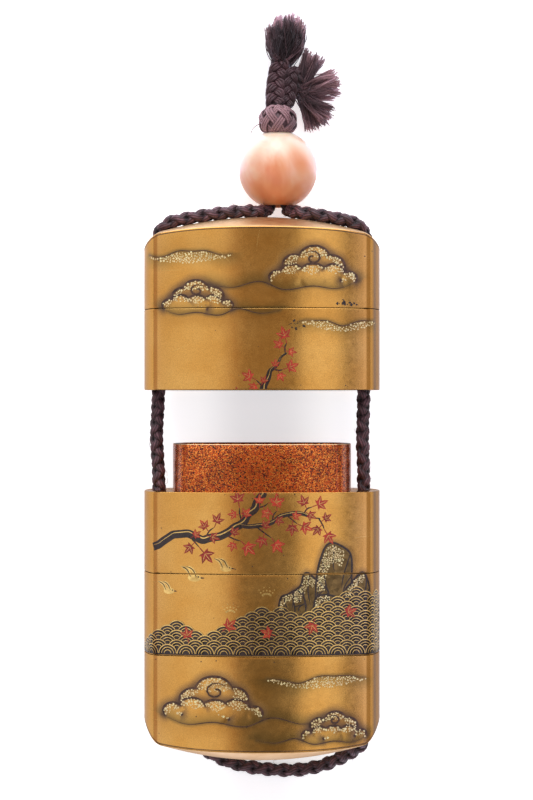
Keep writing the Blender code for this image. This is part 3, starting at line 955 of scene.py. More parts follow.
def add_bead():
    """A ball bored from end to end, with the bore's edges rounded."""
    rings, sides = BEAD_STEPS
    rim = math.asin(BEAD_BORE / BEAD_RADIUS)
    down = np.linspace(rim, math.pi - rim, rings)
    waist, edge = BORE_WAIST
    end = BEAD_RADIUS * math.cos(rim)
    radius = np.append(BEAD_RADIUS * np.sin(down), [waist * BEAD_BORE] * 2)
    height = np.append(BEAD_RADIUS * np.cos(down), [edge - end, end - edge])
    turn = np.linspace(0, 2 * np.pi, sides, endpoint=False)
    places = np.stack([np.outer(radius, np.cos(turn)), np.outer(height, np.ones(sides)),
                       np.outer(radius, np.sin(turn))], axis=2) + BEAD_CENTRE
    faces = ring_faces(len(radius), sides, closed=True)
    bead = put_mesh("coral_ojime_bead", places.reshape(-1, 3), faces, [CORAL], "coral")
    outward_faces(bead.data)
    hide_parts("ojime_bead")


# ---------------------------------------------------------------- the knot and the frayed ends


def round_body(centre, half):
    """A closed ellipsoid, as points and faces."""
    rings, sides = CORE_STEPS
    down, turn = np.meshgrid(np.pi * np.arange(1, rings) / rings, 2 * np.pi * np.arange(sides) / sides,
                             indexing="ij")
    middle = np.stack([np.sin(down) * np.cos(turn), np.cos(down), np.sin(down) * np.sin(turn)], axis=2)
    points = np.concatenate([[(0, 1, 0)], middle.reshape(-1, 3), [(0, -1, 0)]]) * half + centre
    last = len(points) - 1
    faces = [tuple(1 + k for k in face) for face in ring_faces(rings - 1, sides)]
    for j in range(sides):
        after = (j + 1) % sides
        faces.append((0, 1 + after, 1 + j))
        faces.append((last, last - sides + j, last - sides + after))
    return points, faces


def pressed_on_bead(points):
    """What would lie in the bead is flattened over it instead: the knot sits on it like a cap."""
    offset = points - BEAD_CENTRE
    reach = np.linalg.norm(offset, axis=1, keepdims=True)
    over = reach - BEAD_RADIUS - KNOT_PRESS
    pressed = BEAD_RADIUS + KNOT_PRESS * np.exp(np.minimum(over, 0) / KNOT_PRESS)
    return BEAD_CENTRE + offset * np.where(over < 0, pressed / reach, 1.0)


def woven_knot():
    """A ball woven round a core from one closed line of three yarns, over and under itself."""
    t = np.linspace(0, 2 * np.pi, KNOT_STEPS, endpoint=False)
    turn = KNOT_LEADS * t
    tilt = KNOT_TILT * np.sin(KNOT_BIGHTS * t)
    proud = 1 + KNOT_WEAVE * np.sin((KNOT_LEADS - 1) * KNOT_BIGHTS * t)
    half = np.array(KNOT_HALF) - KNOT_SKIN
    out = np.stack([np.cos(tilt) * np.cos(turn), np.sin(tilt), np.cos(tilt) * np.sin(turn)], axis=1)
    line = KNOT_CENTRE + proud[:, None] * out * half
    outward = unit(out / half)
    parts = [unspun(round_body(KNOT_CENTRE, half * 0.95)), unspun(fibre(smooth_line(KNOT_HAIR, 0.3), 0.09))]
    across = np.cross(unit(np.roll(line, -1, axis=0) - np.roll(line, 1, axis=0)), outward)
    for offset in KNOT_YARNS:
        parts.append(yarn(line + offset * across, outward, *KNOT_YARN, twist=1.2, ridge=0.08))
    points, faces = joined(parts)
    points[:, :3] = pressed_on_bead(points[:, :3])
    return points, faces


def plait(points, radius, pitch, shade):
    """Three strands of three yarns plaited along a line; shade darkens them."""
    line = smooth_line(points, 0.25)
    side, up = turned_frames(line)
    gone = np.linspace(0, gone_along(line)[-1], len(line))
    parts = [yarn(line, up, *(radius * size for size in PLAIT_CORE))]
    for k in range(3):
        turn = 2 * np.pi * (gone / pitch + k / 3)
        sway = PLAIT_SWAY * radius * np.sin(turn)
        lift = PLAIT_LIFT * radius * np.sin(2 * turn)
        centre = line + sway[:, None] * side + lift[:, None] * up
        for offset in PLAIT_YARNS:
            beside = centre + offset * radius * np.cross(directions(centre), up)
            parts.append(yarn(beside, up, *(radius * size for size in PLAIT_YARN), twist=0.8, ridge=0.05))
    points, faces = joined(parts)
    points[:, 5] = np.abs(points[:, 5]) - shade
    return points, faces


def bundle(chance, root, root_radius, tip, bow, spread, threads, tint, outness):
    """Threads from a cord's end to the middle of their tips, a little frayed, and their tints."""
    parts = []
    tints = []
    lean = np.array([chance.uniform(-1, 1) for _ in range(3)]) * 0.06 * np.linalg.norm(tip - root)
    t = np.linspace(0, 1, 9)[:, None]
    for _ in range(threads):
        start = root + root_radius * np.array([chance.gauss(0, 0.45) for _ in range(3)])
        end = tip + spread * np.array([chance.gauss(0, wide) for wide in (0.5, 0.5, 0.4)])
        end = start + (end - start) * chance.uniform(0.90, 1.01)
        wave = np.sin(t * chance.uniform(5, 10) + chance.uniform(0, 6)) * t * (1 - 0.6 * t)
        sway = np.array([chance.gauss(0, wide) for wide in (0.15, 0.15, 0.10)])
        line = start + (end - start) * t + (bow + lean) * np.sin(np.pi * t ** 0.8) + wave * sway
        line[:, 2] = np.maximum(line[:, 2], FIBRE_FLOOR)
        line[:, 1] = np.minimum(line[:, 1], FIBRE_TOP - 0.5 * (line[:, 1] > FIBRE_TOP) * chance.random())
        # The third value, for the silk's painted shade and highlight: lighter towards pale tips.
        lit = outness + chance.uniform(-0.25, 0.25) - 0.30 + 0.75 * tint * t[:, 0] ** 2
        parts.append(unspun(fibre(line, chance.uniform(0.07, 0.15)), np.repeat(lit, 4)))
        own = tint * chance.uniform(0.4, 1.3)
        profile = 0.22 * (1 - t[:, 0]) ** 2 + own * t[:, 0] ** 1.6
        tints.append(np.repeat(np.clip(profile, 0, 1), 4))
    return parts, tints


def brush_bundles(chance):
    """The upper end's brush: rounded, in layers, with faded tips; palest towards its top, as painted
    highlight.
    """
    root = np.array(UPPER_STUB[-1]) - (0, BRUSH_ROOT, 0)
    bundles = []
    for count, reach, lift, outness, tints in BRUSH_LAYERS:
        for i in range(count):
            turn = math.radians(BRUSH_START + BRUSH_SWEEP * (i + chance.uniform(0.2, 0.8)) / count)
            lobes = 1 + 0.07 * math.sin(3 * turn - 0.6) + 0.03 * math.sin(7 * turn)
            far = reach * lobes * chance.uniform(0.84, 1.0)
            own_lift = lift + chance.uniform(-0.3, 0.2)
            offset = (far * math.cos(turn), far * math.sin(turn), own_lift)
            tip = np.array(BRUSH_CENTRE) + np.array(BRUSH_HALF) * offset
            bow = 1.3 * np.array([math.cos(turn) * far, 0.15, 0.5 * max(own_lift, 0.0)])
            # Bundles that point to the top are paler: painted highlight.
            tint = chance.choice(tints) * (0.26 + 0.94 * max(math.sin(turn), 0.0) ** 3)
            own_outness = outness + chance.uniform(-0.2, 0.2)
            bundles.append(bundle(chance, root, BRUSH_ROOT, tip, bow, *BRUSH_THREADS, tint, own_outness))
    return bundles


def fan_bundles(chance):
    """The side end's three clumps, which fan out from its loop."""
    root = np.array(SIDE_LOOP[-1])
    bundles = []
    for first, last, reach, count, tint, outness in FANS:
        for i in range(count):
            turn = math.radians(first + (last - first) * (i + chance.uniform(0.2, 0.8)) / count)
            far = reach * chance.uniform(0.86, 1.0)
            tip = root + (far * math.cos(turn), far * math.sin(turn), chance.uniform(-3.4, 1.6))
            bow = 0.5 * np.array([-math.sin(turn), math.cos(turn), 0.6]) * chance.uniform(-1, 1)
            own = tint * chance.uniform(0.4, 1.1)
            own_outness = outness + chance.uniform(-0.3, 0.3)
            bundles.append(bundle(chance, root, FAN_ROOT, tip, bow, *FAN_THREADS, own, own_outness))
    return bundles


def put_silk(name, node, points, faces, tints):
    """A piece of silk that stands for a node, with how faded each of its points is."""
    piece = put_mesh(name, points, faces, [SILK], "silk_cord")
    set_attribute(piece.data, "tip", tints)
    outward_faces(piece.data)
    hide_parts(node)
    return piece


def put_frayed_end(name, node, solid, bundles):
    points, faces = joined([solid, *(part for parts, _ in bundles for part in parts)])
    tints = [np.full(len(solid[0]), PLAIT_TINT), *(own for _, some in bundles for own in some)]
    return put_silk(name, node, points, faces, np.concatenate(tints))


def add_tassel():
    """The knot over the bead and the two frayed ends that come out of it."""
    chance = random.Random(21)
    points, faces = woven_knot()
    shadow_side = smooth_step((points[:, 0] - KNOT_CENTRE[0] - 0.8) / 2.8)
    knot = put_silk("woven_knot", "cord_knot", points, faces, KNOT_TINT * (1 - 0.6 * shadow_side))
    upper = put_frayed_end("upper_frayed_end", "cord_end_upper", plait(UPPER_STUB, *UPPER_PLAIT),
                           brush_bundles(chance))
    side = put_frayed_end("side_frayed_end", "cord_end_side", plait(SIDE_LOOP, *SIDE_PLAIT),
                          fan_bundles(chance))
    return [knot, upper, side]


# ---------------------------------------------------------------- the picture: how it is laid
# A place in the picture is (s, v): s is the distance along the outline from the middle of the
# front, to the right, and v is the height up the closed stack from the bottom of the base.

JOINTS = [0.0, CASE_3_Y - BASE_Y, CASE_2_Y - BASE_Y, CASE_2_Y + CASE_HEIGHT - BASE_Y,
          LID_Y - BASE_Y - OPEN_GAP, LID_TOP_Y - BASE_Y - OPEN_GAP]
GAPS = (0.0, 0.0, 0.0, OPEN_GAP, OPEN_GAP)
STACK = dict(zip(("case_4_base", "case_3", "case_2", "case_1", "lid"), zip(JOINTS, JOINTS[1:], GAPS)))
SINK = 0.05                   # how deep a painted shape reaches into the wall
FLAKE_TOSSES = 45             # how many flakes are tried for each square millimetre
FLAKE_ROOM = 0.95             # how near two flakes may lie, in the sum of their radii
RIM_MARGIN = 0.2
SEAM_MARGIN = 0.16
RIM_LINE = 0.36               # how far from a domed end's rim its dark line runs
ON_WALL = 0.02                # points nearer to the outline than this are on the outer wall
NEAR_WALL = 0.25
CLOUD_PROUD = 0.05
CLOUD_SLOPE = 0.9
CLOUD_SQUASH = 0.80

# How far the painted things stand out of the wall.
LEVEL = {"scratch": 0.006, "rim": 0.012, "boulder": 0.014, "pit": 0.020, "stroke": 0.030, "crack": 0.034,
         "outline": 0.036, "flake": 0.040, "bough": 0.040, "drop": 0.045, "bird": 0.045, "wave": 0.046,
         "shoulder": 0.046, "wing": 0.052, "shine": 0.055, "beak": 0.055, "coil": 0.056, "eye": 0.060,
         "crest": 0.062, "feather": 0.062, "wear": 0.066, "stalk": 0.076, "leaf": 0.084, "vein": 0.092}


def curve(points, step=0.3):
    """A smooth line through places, with evenly spaced points."""
    return smooth_line([(s, v, 0.0) for s, v in points], step)[:, :2]


def arc(centre, radius, start, end, step=0.25):
    """Part of a circle; angles in degrees, from the right, anticlockwise."""
    count = max(5, round(abs(math.radians(end - start)) * radius / step))
    return polar(centre, radius, np.radians(np.linspace(start, end, count + 1)))


def spiral(centre, radius, start, sweep):
    """A line that winds in from a radius; angles in degrees."""
    count = max(12, round(abs(math.radians(sweep)) * radius * 2.4))
    t = np.linspace(0, 1, count + 1)
    return polar(centre, radius * (1 - 0.78 * t), np.radians(start + sweep * t))


def runs_outside(line, circles):
    """The stretches of a line that no circle covers."""
    free = np.ones(len(line), dtype=bool)
    for centre, radius in circles:
        free &= np.hypot(*(line - centre).T) > 0.985 * radius
    runs = []
    start = None
    for i, is_free in enumerate([*free, False]):
        if is_free and start is None:
            start = i
        if not is_free and start is not None:
            if i - start >= 4:
                runs.append(line[start:i])
            start = None
    return runs


def inside(places, outline):
    """Which places lie inside a closed outline."""
    s, v = places.T
    result = np.zeros(len(places), dtype=bool)
    before = outline[-1]
    for after in outline:
        crosses = (before[1] > v) != (after[1] > v)
        at = before[0] + (v - before[1]) / (after[1] - before[1] + 1e-12) * (after[0] - before[0])
        result ^= crosses & (s < at)
        before = after
    return result


def away_from(places, line):
    """The distance of places from a line, and their side of it: +1 is left."""
    nearest = np.full(len(places), 1e9)
    side = np.ones(len(places))
    for first, last in zip(line, line[1:]):
        run = last - first
        t = np.clip((places - first) @ run / max(run @ run, 1e-12), 0, 1)
        gap = places - first - t[:, None] * run
        distance = np.hypot(gap[:, 0], gap[:, 1])
        closer = distance < nearest
        nearest[closer] = distance[closer]
        side[closer] = np.sign(run[0] * gap[closer, 1] - run[1] * gap[closer, 0])
    return nearest, side


def rim_height(s, end):
    """How far a domed end's rim stands back at a distance along the outline."""
    return end_drop(*OUTER.at(s), end)


class Picture:
    """All that is painted: raised clouds, soft shades, lines, filled shapes and laid flakes."""

    def __init__(self):
        self.sheets = []
        self.dots = []
        self.shades = []
        self.raised = []
        self.chance = random.Random(7)

    def relief(self, places):
        """How far the raised clouds stand out at places."""
        height = np.zeros(len(places))
        for centre, radius in self.raised:
            gap = radius - np.hypot(places[:, 0] - centre[0], (places[:, 1] - centre[1]) / CLOUD_SQUASH)
            height = np.maximum(height, CLOUD_PROUD * smooth_step(gap / CLOUD_SLOPE))
        for low, _, _ in STACK.values():
            height = height * smooth_step((np.abs(places[:, 1] - low) - 0.2) / 0.8)
        return height

    def shade_at(self, places, channel):
        """How strong the dark or the green powder is at places, from 0 to 1; the dark one also holds
        painted shade.
        """
        clear = np.ones(len(places))
        for line, reach, depth, side in (shade[1:] for shade in self.shades if shade[0] == channel):
            near = np.all((places > line.min(axis=0) - reach) & (places < line.max(axis=0) + reach), axis=1)
            if not near.any():
                continue
            distance, where = away_from(places[near], line)
            strength = depth * smooth_step(1 - distance / reach)
            if side:
                fainter = strength * smooth_step(1 - 4 * distance / reach)
                strength = np.where(where * side > 0, strength, fainter)
            clear[near] *= 1 - strength
        return 1 - clear

    def shade(self, line, reach, depth, channel="soot", side=0):
        """Powder that fades away from a line, on both sides, or to its left (+1) or right (-1); down the
        round ends it is painted shade.
        """
        self.shades.append((channel, np.asarray(line)[::2], reach, depth, side))

    def line(self, line, width, ink, start=0.3, end=0.3, level="stroke"):
        """A brush line: full width in its middle, and thinner at its ends."""
        line = np.asarray(line)
        ahead = directions(line)
        aside = np.stack([-ahead[:, 1], ahead[:, 0]], axis=1)
        t = np.linspace(0, 1, len(line))
        full = np.minimum(start + (1 - start) * smooth_step(t / 0.3),
                          end + (1 - end) * smooth_step((1 - t) / 0.3))
        half = 0.5 * width * full[:, None]
        points = np.stack([line - aside * half, line + aside * half], axis=1).reshape(-1, 2)
        faces = [(2 * i, 2 * i + 2, 2 * i + 3, 2 * i + 1) for i in range(len(line) - 1)]
        self.sheets.append((ink, points, faces, LEVEL[level]))

    def fill(self, outline, ink, level, lift=0.0):
        """A filled shape inside a closed outline."""
        outline = np.asarray(outline)
        faces = tessellate_polygon([[Vector((s, v, 0)) for s, v in outline]])
        self.sheets.append((ink, outline, [tuple(face) for face in faces], LEVEL[level] + lift))

    def dot(self, place, radius, ink, corners, level, rough=0.0):
        start = self.chance.uniform(0, 2 * math.pi)
        reach = [radius * (1 + rough * self.chance.uniform(-1, 1)) for _ in range(corners)]
        points = polar(place, np.array(reach), start + 2 * np.pi * np.arange(corners) / corners)
        self.dots.append((ink, place[1], radius, points, LEVEL[level]))

    def flakes(self, outline, small, large, share, level="flake"):
        """Cut gold flakes laid side by side in an outline."""
        outline = np.asarray(outline)
        low, high = outline.min(axis=0), outline.max(axis=0)
        tosses = np.array([(self.chance.uniform(low[0], high[0]), self.chance.uniform(low[1], high[1]))
                           for _ in range(int((high - low).prod() * FLAKE_TOSSES) + 4)])
        cell = 2.2 * large
        grid = {}
        for place in tosses[inside(tosses, outline)]:
            radius = self.chance.uniform(small, large)
            if self.chance.random() > share:
                continue
            column, row = int(place[0] // cell), int(place[1] // cell)
            near = [other for i in (-1, 0, 1) for j in (-1, 0, 1)
                    for other in grid.get((column + i, row + j), ())]
            if any(math.hypot(place[0] - s, place[1] - v) < FLAKE_ROOM * (radius + r) for s, v, r in near):
                continue
            grid.setdefault((column, row), []).append((place[0], place[1], radius))
            self.dot(place, radius, "flake", self.chance.choice((5, 5, 6)), level, 0.22)


# ---------------------------------------------------------------- the picture: its motifs

CLOUD_TIERS = (               # lobes: across, up and radius in half widths; the back tier first
    ((-0.40, 0.20, 0.30), (-0.02, 0.38, 0.36), (0.40, 0.22, 0.30)),
    ((-0.80, -0.12, 0.20), (-0.46, -0.04, 0.28), (0.00, -0.10, 0.32), (0.44, -0.06, 0.27),
     (0.79, -0.15, 0.19)))
CLOUD_TAIL = ((-1.05, -0.20), (-0.55, -0.42), (0.0, -0.36), (0.62, -0.46), (1.15, -0.24), (1.75, -0.40),
              (2.3, -0.30))
CLOUD_FLAKES = (              # bands under an edge: from and to, in radii, smallest, largest, share
    (0.90, 0.54, 0.13, 0.30, 0.90), (0.54, 0.16, 0.08, 0.20, 0.30))
HOOK = 0.74                   # how far into its neighbour a lobe's edge runs on, as a share of it
WAVE_FOOT = 23.6
WAVE_RADIUS = 2.0
WAVE_ROWS = 40                # more than the swells' height takes
WAVE_OVERLAP = 0.51           # a scale's half width, in pitches
WAVE_ARCS = ((0.94, 0.20), (0.66, 0.15), (0.38, 0.13))  # radius, in scales, and width
SPRAY_RINGS = ((1.0, 6, 0.19), (1.55, 5, 0.14), (2.1, 4, 0.10))  # reach, drops and their radius
BOULDERS = (                  # place, width, height, seed, from the back to the front
    ((15.4, 33.0), 8.4, 12.4, 5), ((10.2, 32.0), 7.0, 8.2, 8), ((20.2, 33.4), 5.4, 6.6, 2),
    ((6.2, 31.0), 6.0, 5.6, 10), ((13.4, 31.6), 6.4, 4.8, 4))
LEAF_TIPS = ((-112, 0.55), (-56, 0.86), (0, 1.0), (56, 0.86), (112, 0.55))
WORN_PLACES = ((7.4, 70.6), (17.6, 75.0))
EDGE_PAINTED_SHADES = (              # painted shade down the round ends, strongest on the right: place, reach, depth and kind
    (28.5, 9.0, 0.95, "age"), (-28.5, 9.0, 0.25, "age"), (25.1, 1.7, 0.60, "soot"))


def cloud(picture, place, width, tiers=2, turn=1):
    """A bank of cloud: tiers of scallops that hook in under each other, a curl and a tail."""
    chance = picture.chance
    half = 0.5 * width

    def settle(line):
        flat = np.asarray(line) * (half, half * CLOUD_SQUASH)
        return flat * (turn, 1) + place

    rows = []
    for tier in CLOUD_TIERS[-tiers:]:
        rows.append([((across + chance.uniform(-0.03, 0.03), up + chance.uniform(-0.03, 0.03)),
                      radius * chance.uniform(0.92, 1.08)) for across, up, radius in tier])
    for k, row in enumerate(rows):
        front = [lobe for other in rows[k + 1:] for lobe in other]
        for i, (centre, radius) in enumerate(row):
            picture.raised.append((settle(centre), radius * half))
            hidden = front + row[:i] + [(other, HOOK * size) for other, size in row[i + 1:]]
            for run in runs_outside(arc(centre, radius, 215, -35, 0.25 / half), hidden):
                edge = settle(run)
                picture.line(edge, 0.52, "umber", 0.45, 0.25)
                picture.shade(edge, 2.0, 0.62, side=turn)
                picture.shade(edge, 0.9, 0.35, side=-turn)
                for outer, inner, small, large, share in CLOUD_FLAKES:
                    band = [centre + reach * (points - centre)
                            for points, reach in ((run, outer), (run[::-1], inner))]
                    clear = [p for p in np.concatenate(band) if all(math.dist(p, c) > r for c, r in front)]
                    if len(clear) > 5:
                        picture.flakes(settle(clear), small, large, share)
    curled, reach = rows[0][len(rows[0]) // 2]
    coil = settle(spiral((curled[0] + 0.04, curled[1] + 0.02), 0.60 * reach, 40, 420))
    picture.line(coil, 0.38, "umber", 0.3, 0.9, "coil")
    picture.shade(coil, 0.9, 0.50)
    tail = settle(curve(CLOUD_TAIL, 0.3 / half))
    picture.line(tail, 0.20, "umber", 0.1, 0.1)
    picture.shade(tail, 3.2, 0.55, "green", side=turn)
    picture.shade(tail, 4.0, 0.30, "age", side=-turn)
    picture.shade(tail, 0.6, 0.30)


def mist(picture, place, length, wave):
    """A long drift of mist: a waved line with green powder and a thin strip of flakes under it."""
    s = np.linspace(place[0], place[0] + length, max(16, round(length / 0.4)))
    t = (s - place[0]) / length
    phase = picture.chance.uniform(0, 2 * math.pi)
    ripple = np.sin(2.2 * np.pi * t + phase) + 0.35 * np.sin(5.3 * np.pi * t + 2 * phase)
    v = place[1] + wave * ripple * np.sin(np.pi * t) ** 0.7
    drift = np.stack([s, v], axis=1)
    picture.line(drift, 0.18, "umber", 0.1, 0.1)
    picture.shade(drift, 3.6, 0.55, "green", side=-1)
    picture.shade(drift, 4.4, 0.26, "age", side=1)
    picture.shade(drift, 0.6, 0.35)
    below = np.stack([s, v - (1.7 + 0.7 * ripple) * np.sin(np.pi * t) - 0.3], axis=1)
    picture.flakes(np.concatenate([drift - (0, 0.2), below[::-1]])[::2], 0.10, 0.26, 0.55)


def swell(s):
    """The height of the waves' upper edge in front: a slope that rises to the right in two swells."""
    return 29.0 + 0.20 * (s + 20) + 1.7 * math.sin(2 * math.pi * (s + 5.5) / 19)


def far_swell(s):
    """The height of the waves' upper edge on the sides and the back."""
    return 31.0 + 1.3 * math.sin(0.33 * s)


def waves(picture, left, right, upper_edge):
    """Fish-scale waves: rows of three gold arcs each, on a dark ground, front rows in front."""
    count = round((right - left) / (2 * WAVE_RADIUS))
    pitch = (right - left) / count
    half = WAVE_OVERLAP * pitch
    scales = []
    for row in reversed(range(WAVE_ROWS)):
        for i in range(count - row % 2):
            place = (left + pitch * (i + 0.5 + 0.5 * (row % 2)), WAVE_FOOT + 0.5 * WAVE_RADIUS * row)
            if place[1] + WAVE_RADIUS < upper_edge(place[0]):
                scales.append(place)
    for k, place in enumerate(scales):
        foot = max(place[1] - WAVE_RADIUS, WAVE_FOOT - 0.4)
        skirt = [(place[0] + half, foot), (place[0] - half, foot)]
        picture.fill(np.concatenate([arc(place, half, 180, 0, 0.5), skirt]), "ink", "wave")
        front = [(other, WAVE_RADIUS) for other in scales[k + 1:]
                 if math.dist(other, place) < 2 * WAVE_RADIUS]
        for share, width in WAVE_ARCS:
            for run in runs_outside(arc(place, share * WAVE_RADIUS, 178, 2), front):
                picture.line(run, width, "bright_gold", 0.6, 0.6, "crest")


def spray(picture, place, size):
    """Drops of foam in a fan over a swell."""
    for reach, drops, radius in SPRAY_RINGS:
        for i in range(drops):
            spot = polar(place, reach * size, math.radians(38 + 104 * (i + 0.5) / drops))
            picture.dot(spot, radius * size, "bright_gold", 10, "drop")


def boulder(picture, place, width, height, seed):
    """A worn boulder: a rough outline, dark cracks, shade at its foot, flakes on its left shoulder."""
    chance = random.Random(seed)
    rough = np.array([1 + chance.uniform(-0.13, 0.13) for _ in range(8)])
    turn = np.linspace(math.pi, 0, len(rough))
    across = 0.5 * width * rough * np.copysign(np.abs(np.cos(turn)) ** 0.8, np.cos(turn))
    up = height * rough * np.maximum(np.sin(turn), 0) ** 0.9
    outline = curve(np.stack([across, up], axis=1) + place)
    picture.fill(outline, "bronze", "boulder", 0.002 * (seed % 7))
    picture.line(outline, 0.42, "ink", 0.6, 0.6, "outline")
    picture.shade(outline, 1.5, 0.55, side=1)
    for i in range(7):
        at = outline[int((0.08 + 0.84 * i / 6) * (len(outline) - 1))]
        foot = place + np.array([0.30 * (at[0] - place[0]), chance.uniform(0.05, 0.35) * height])
        bend = at + 0.5 * (foot - at) + (chance.uniform(-0.5, 0.5), chance.uniform(-0.3, 0.5))
        end = at + chance.uniform(0.55, 0.95) * (foot - at)
        picture.line(curve([at + 0.04 * (foot - at), bend, end]), 0.26, "ink", 0.9, 0.1, "crack")
    middle = place + np.array([0, 0.3 * height])
    shoulder = outline[int(0.12 * len(outline)):int(0.60 * len(outline))]
    inner = middle + 0.58 * (shoulder - middle)
    outer = middle + 0.93 * (shoulder - middle)
    picture.flakes(np.concatenate([outer, inner[::-1]])[::2], 0.10, 0.22, 0.85, "shoulder")


def leaf(picture, place, size, heading, ink="red"):
    """A maple leaf: five pointed lobes, veins and a stalk; heading in degrees."""
    def spot(turn, reach):
        return polar(place, size * reach, math.radians(heading + turn))

    outline = [(180, 0.16)] + [(turn + 28, 0.42) for turn, _ in LEAF_TIPS[:-1]]
    for turn, reach in LEAF_TIPS:
        outline += [(turn - 15, 0.66 * reach), (turn, reach), (turn + 15, 0.66 * reach)]
    picture.fill([spot(*corner) for corner in sorted(outline)], ink, "leaf")
    for turn, reach in LEAF_TIPS[1:4]:
        picture.line(curve([place, spot(turn, 0.78 * reach)]), 0.036 * size, "bright_gold", 0.9, 0.2, "vein")
    picture.line(curve([place, spot(180, 0.75)]), 0.09 * size, "deep_red", 0.8, 0.5, "stalk")


def bough(picture, points, width, twigs, seed):
    """A bough that thins to its tip, with twigs of red leaves on alternate sides."""
    chance = random.Random(seed)
    line = curve(points)
    knots = np.linspace(0, len(line) / 9, len(line))
    line = line + 0.10 * width * np.stack([np.sin(5 * knots), np.cos(3.7 * knots)], axis=1)
    picture.line(line, width, "ink", 1.0, 0.25, "bough")
    picture.line(line + (0.08 * width, 0.22 * width), 0.13 * width, "bright_gold", 0.3, 0.1, "shine")
    for i in range(twigs):
        t = 0.22 + 0.78 * i / (twigs - 1)
        at = min(int(t * (len(line) - 1)), len(line) - 2)
        way = 1 if i % 2 else -1
        heading = math.degrees(math.atan2(*(line[at + 1] - line[at])[::-1])) + way * chance.uniform(28, 62)
        end = polar(line[at], chance.uniform(2.6, 4.6) * (1.15 - 0.4 * t), math.radians(heading))
        bow = line[at] + 0.55 * (end - line[at]) + way * 0.25 * np.array([-1.0, 1.0])
        twig = curve([line[at], bow, end])
        picture.line(twig, 0.30, "ink", 1.0, 0.4, "bough")
        for share, turn, size in ((1.0, 0, 1.0), (0.62, 70 * way, 0.8), (0.36, -75 * way, 0.7)):
            size *= chance.uniform(1.9, 2.5)
            leaf_heading = heading + turn + chance.uniform(-25, 25)
            centre = polar(twig[int(share * (len(twig) - 1))], 0.7 * size, math.radians(leaf_heading))
            leaf(picture, centre, size, leaf_heading, chance.choice(("red", "red", "deep_red")))


def plover(picture, place, size):
    """A small bird in flight: a plump body, two raised wings, a beak and an eye."""
    def spot(s, v):
        return (place[0] + size * s, place[1] + size * v)

    turns = np.linspace(0, 2 * math.pi, 20, endpoint=False)
    body = [spot(0.62 * math.cos(turn), 0.34 * math.sin(turn)) for turn in turns]
    picture.fill(body, "bright_gold", "bird")
    for lean in (0.15, -0.35):
        wing = curve([spot(lean, 0.1), spot(lean - 0.35, 0.75), spot(lean - 0.95, 1.05)])
        picture.line(wing, 0.34 * size, "bright_gold", 1.0, 0.1, "wing")
        picture.line(wing, 0.09 * size, "ink", 0.6, 0.1, "feather")
    beak = curve([spot(0.55, 0), spot(0.9, -0.05 / size)])
    picture.line(beak, 0.12 * size, "ink", 1.0, 0.2, "beak")
    picture.dot(spot(0.36, 0.08), 0.07 * size, "ink", 8, "eye")


def rim_lines(picture):
    """The thin dark line along the edge of each domed end."""
    s = np.linspace(-63.0, 63.0, 421)
    for v in (rim_height(s, BASE_END) + RIM_LINE, JOINTS[-1] - rim_height(s, LID_END) - RIM_LINE):
        picture.line(np.stack([s, v], axis=1), 0.16, "umber", 1.0, 1.0, "rim")


def worn_spots(picture):
    """Small pits where the dark ground shows, most of them near the cases' edges, and scratches."""
    chance = random.Random(3)
    for low, high, _ in STACK.values():
        for _ in range(26):
            v = chance.choice((low + chance.uniform(0.25, 1.2), high - chance.uniform(0.25, 1.2),
                               chance.uniform(low, high)))
            picture.dot((chance.uniform(-60, 60), v), chance.uniform(0.05, 0.15), "ink", 8, "pit", 0.35)
    for s, v in WORN_PLACES:
        for _ in range(14):
            at = (s + chance.gauss(0, 1.1), v + chance.gauss(0, 0.4))
            picture.dot(at, chance.choice((0.09, 0.13, 0.20, 0.28)), "ink", 9, "wear", 0.4)
    for _ in range(11):
        start = np.array([chance.uniform(-22, 22), chance.uniform(6, 86)])
        heading = chance.uniform(0, 2 * math.pi)
        end = polar(start, chance.uniform(1.5, 5.0), heading)
        middle = 0.5 * (start + end) + (chance.uniform(-0.3, 0.3), 0)
        picture.line(curve([start, middle, end]), 0.035, "bright_gold", 0.2, 0.2, "scratch")


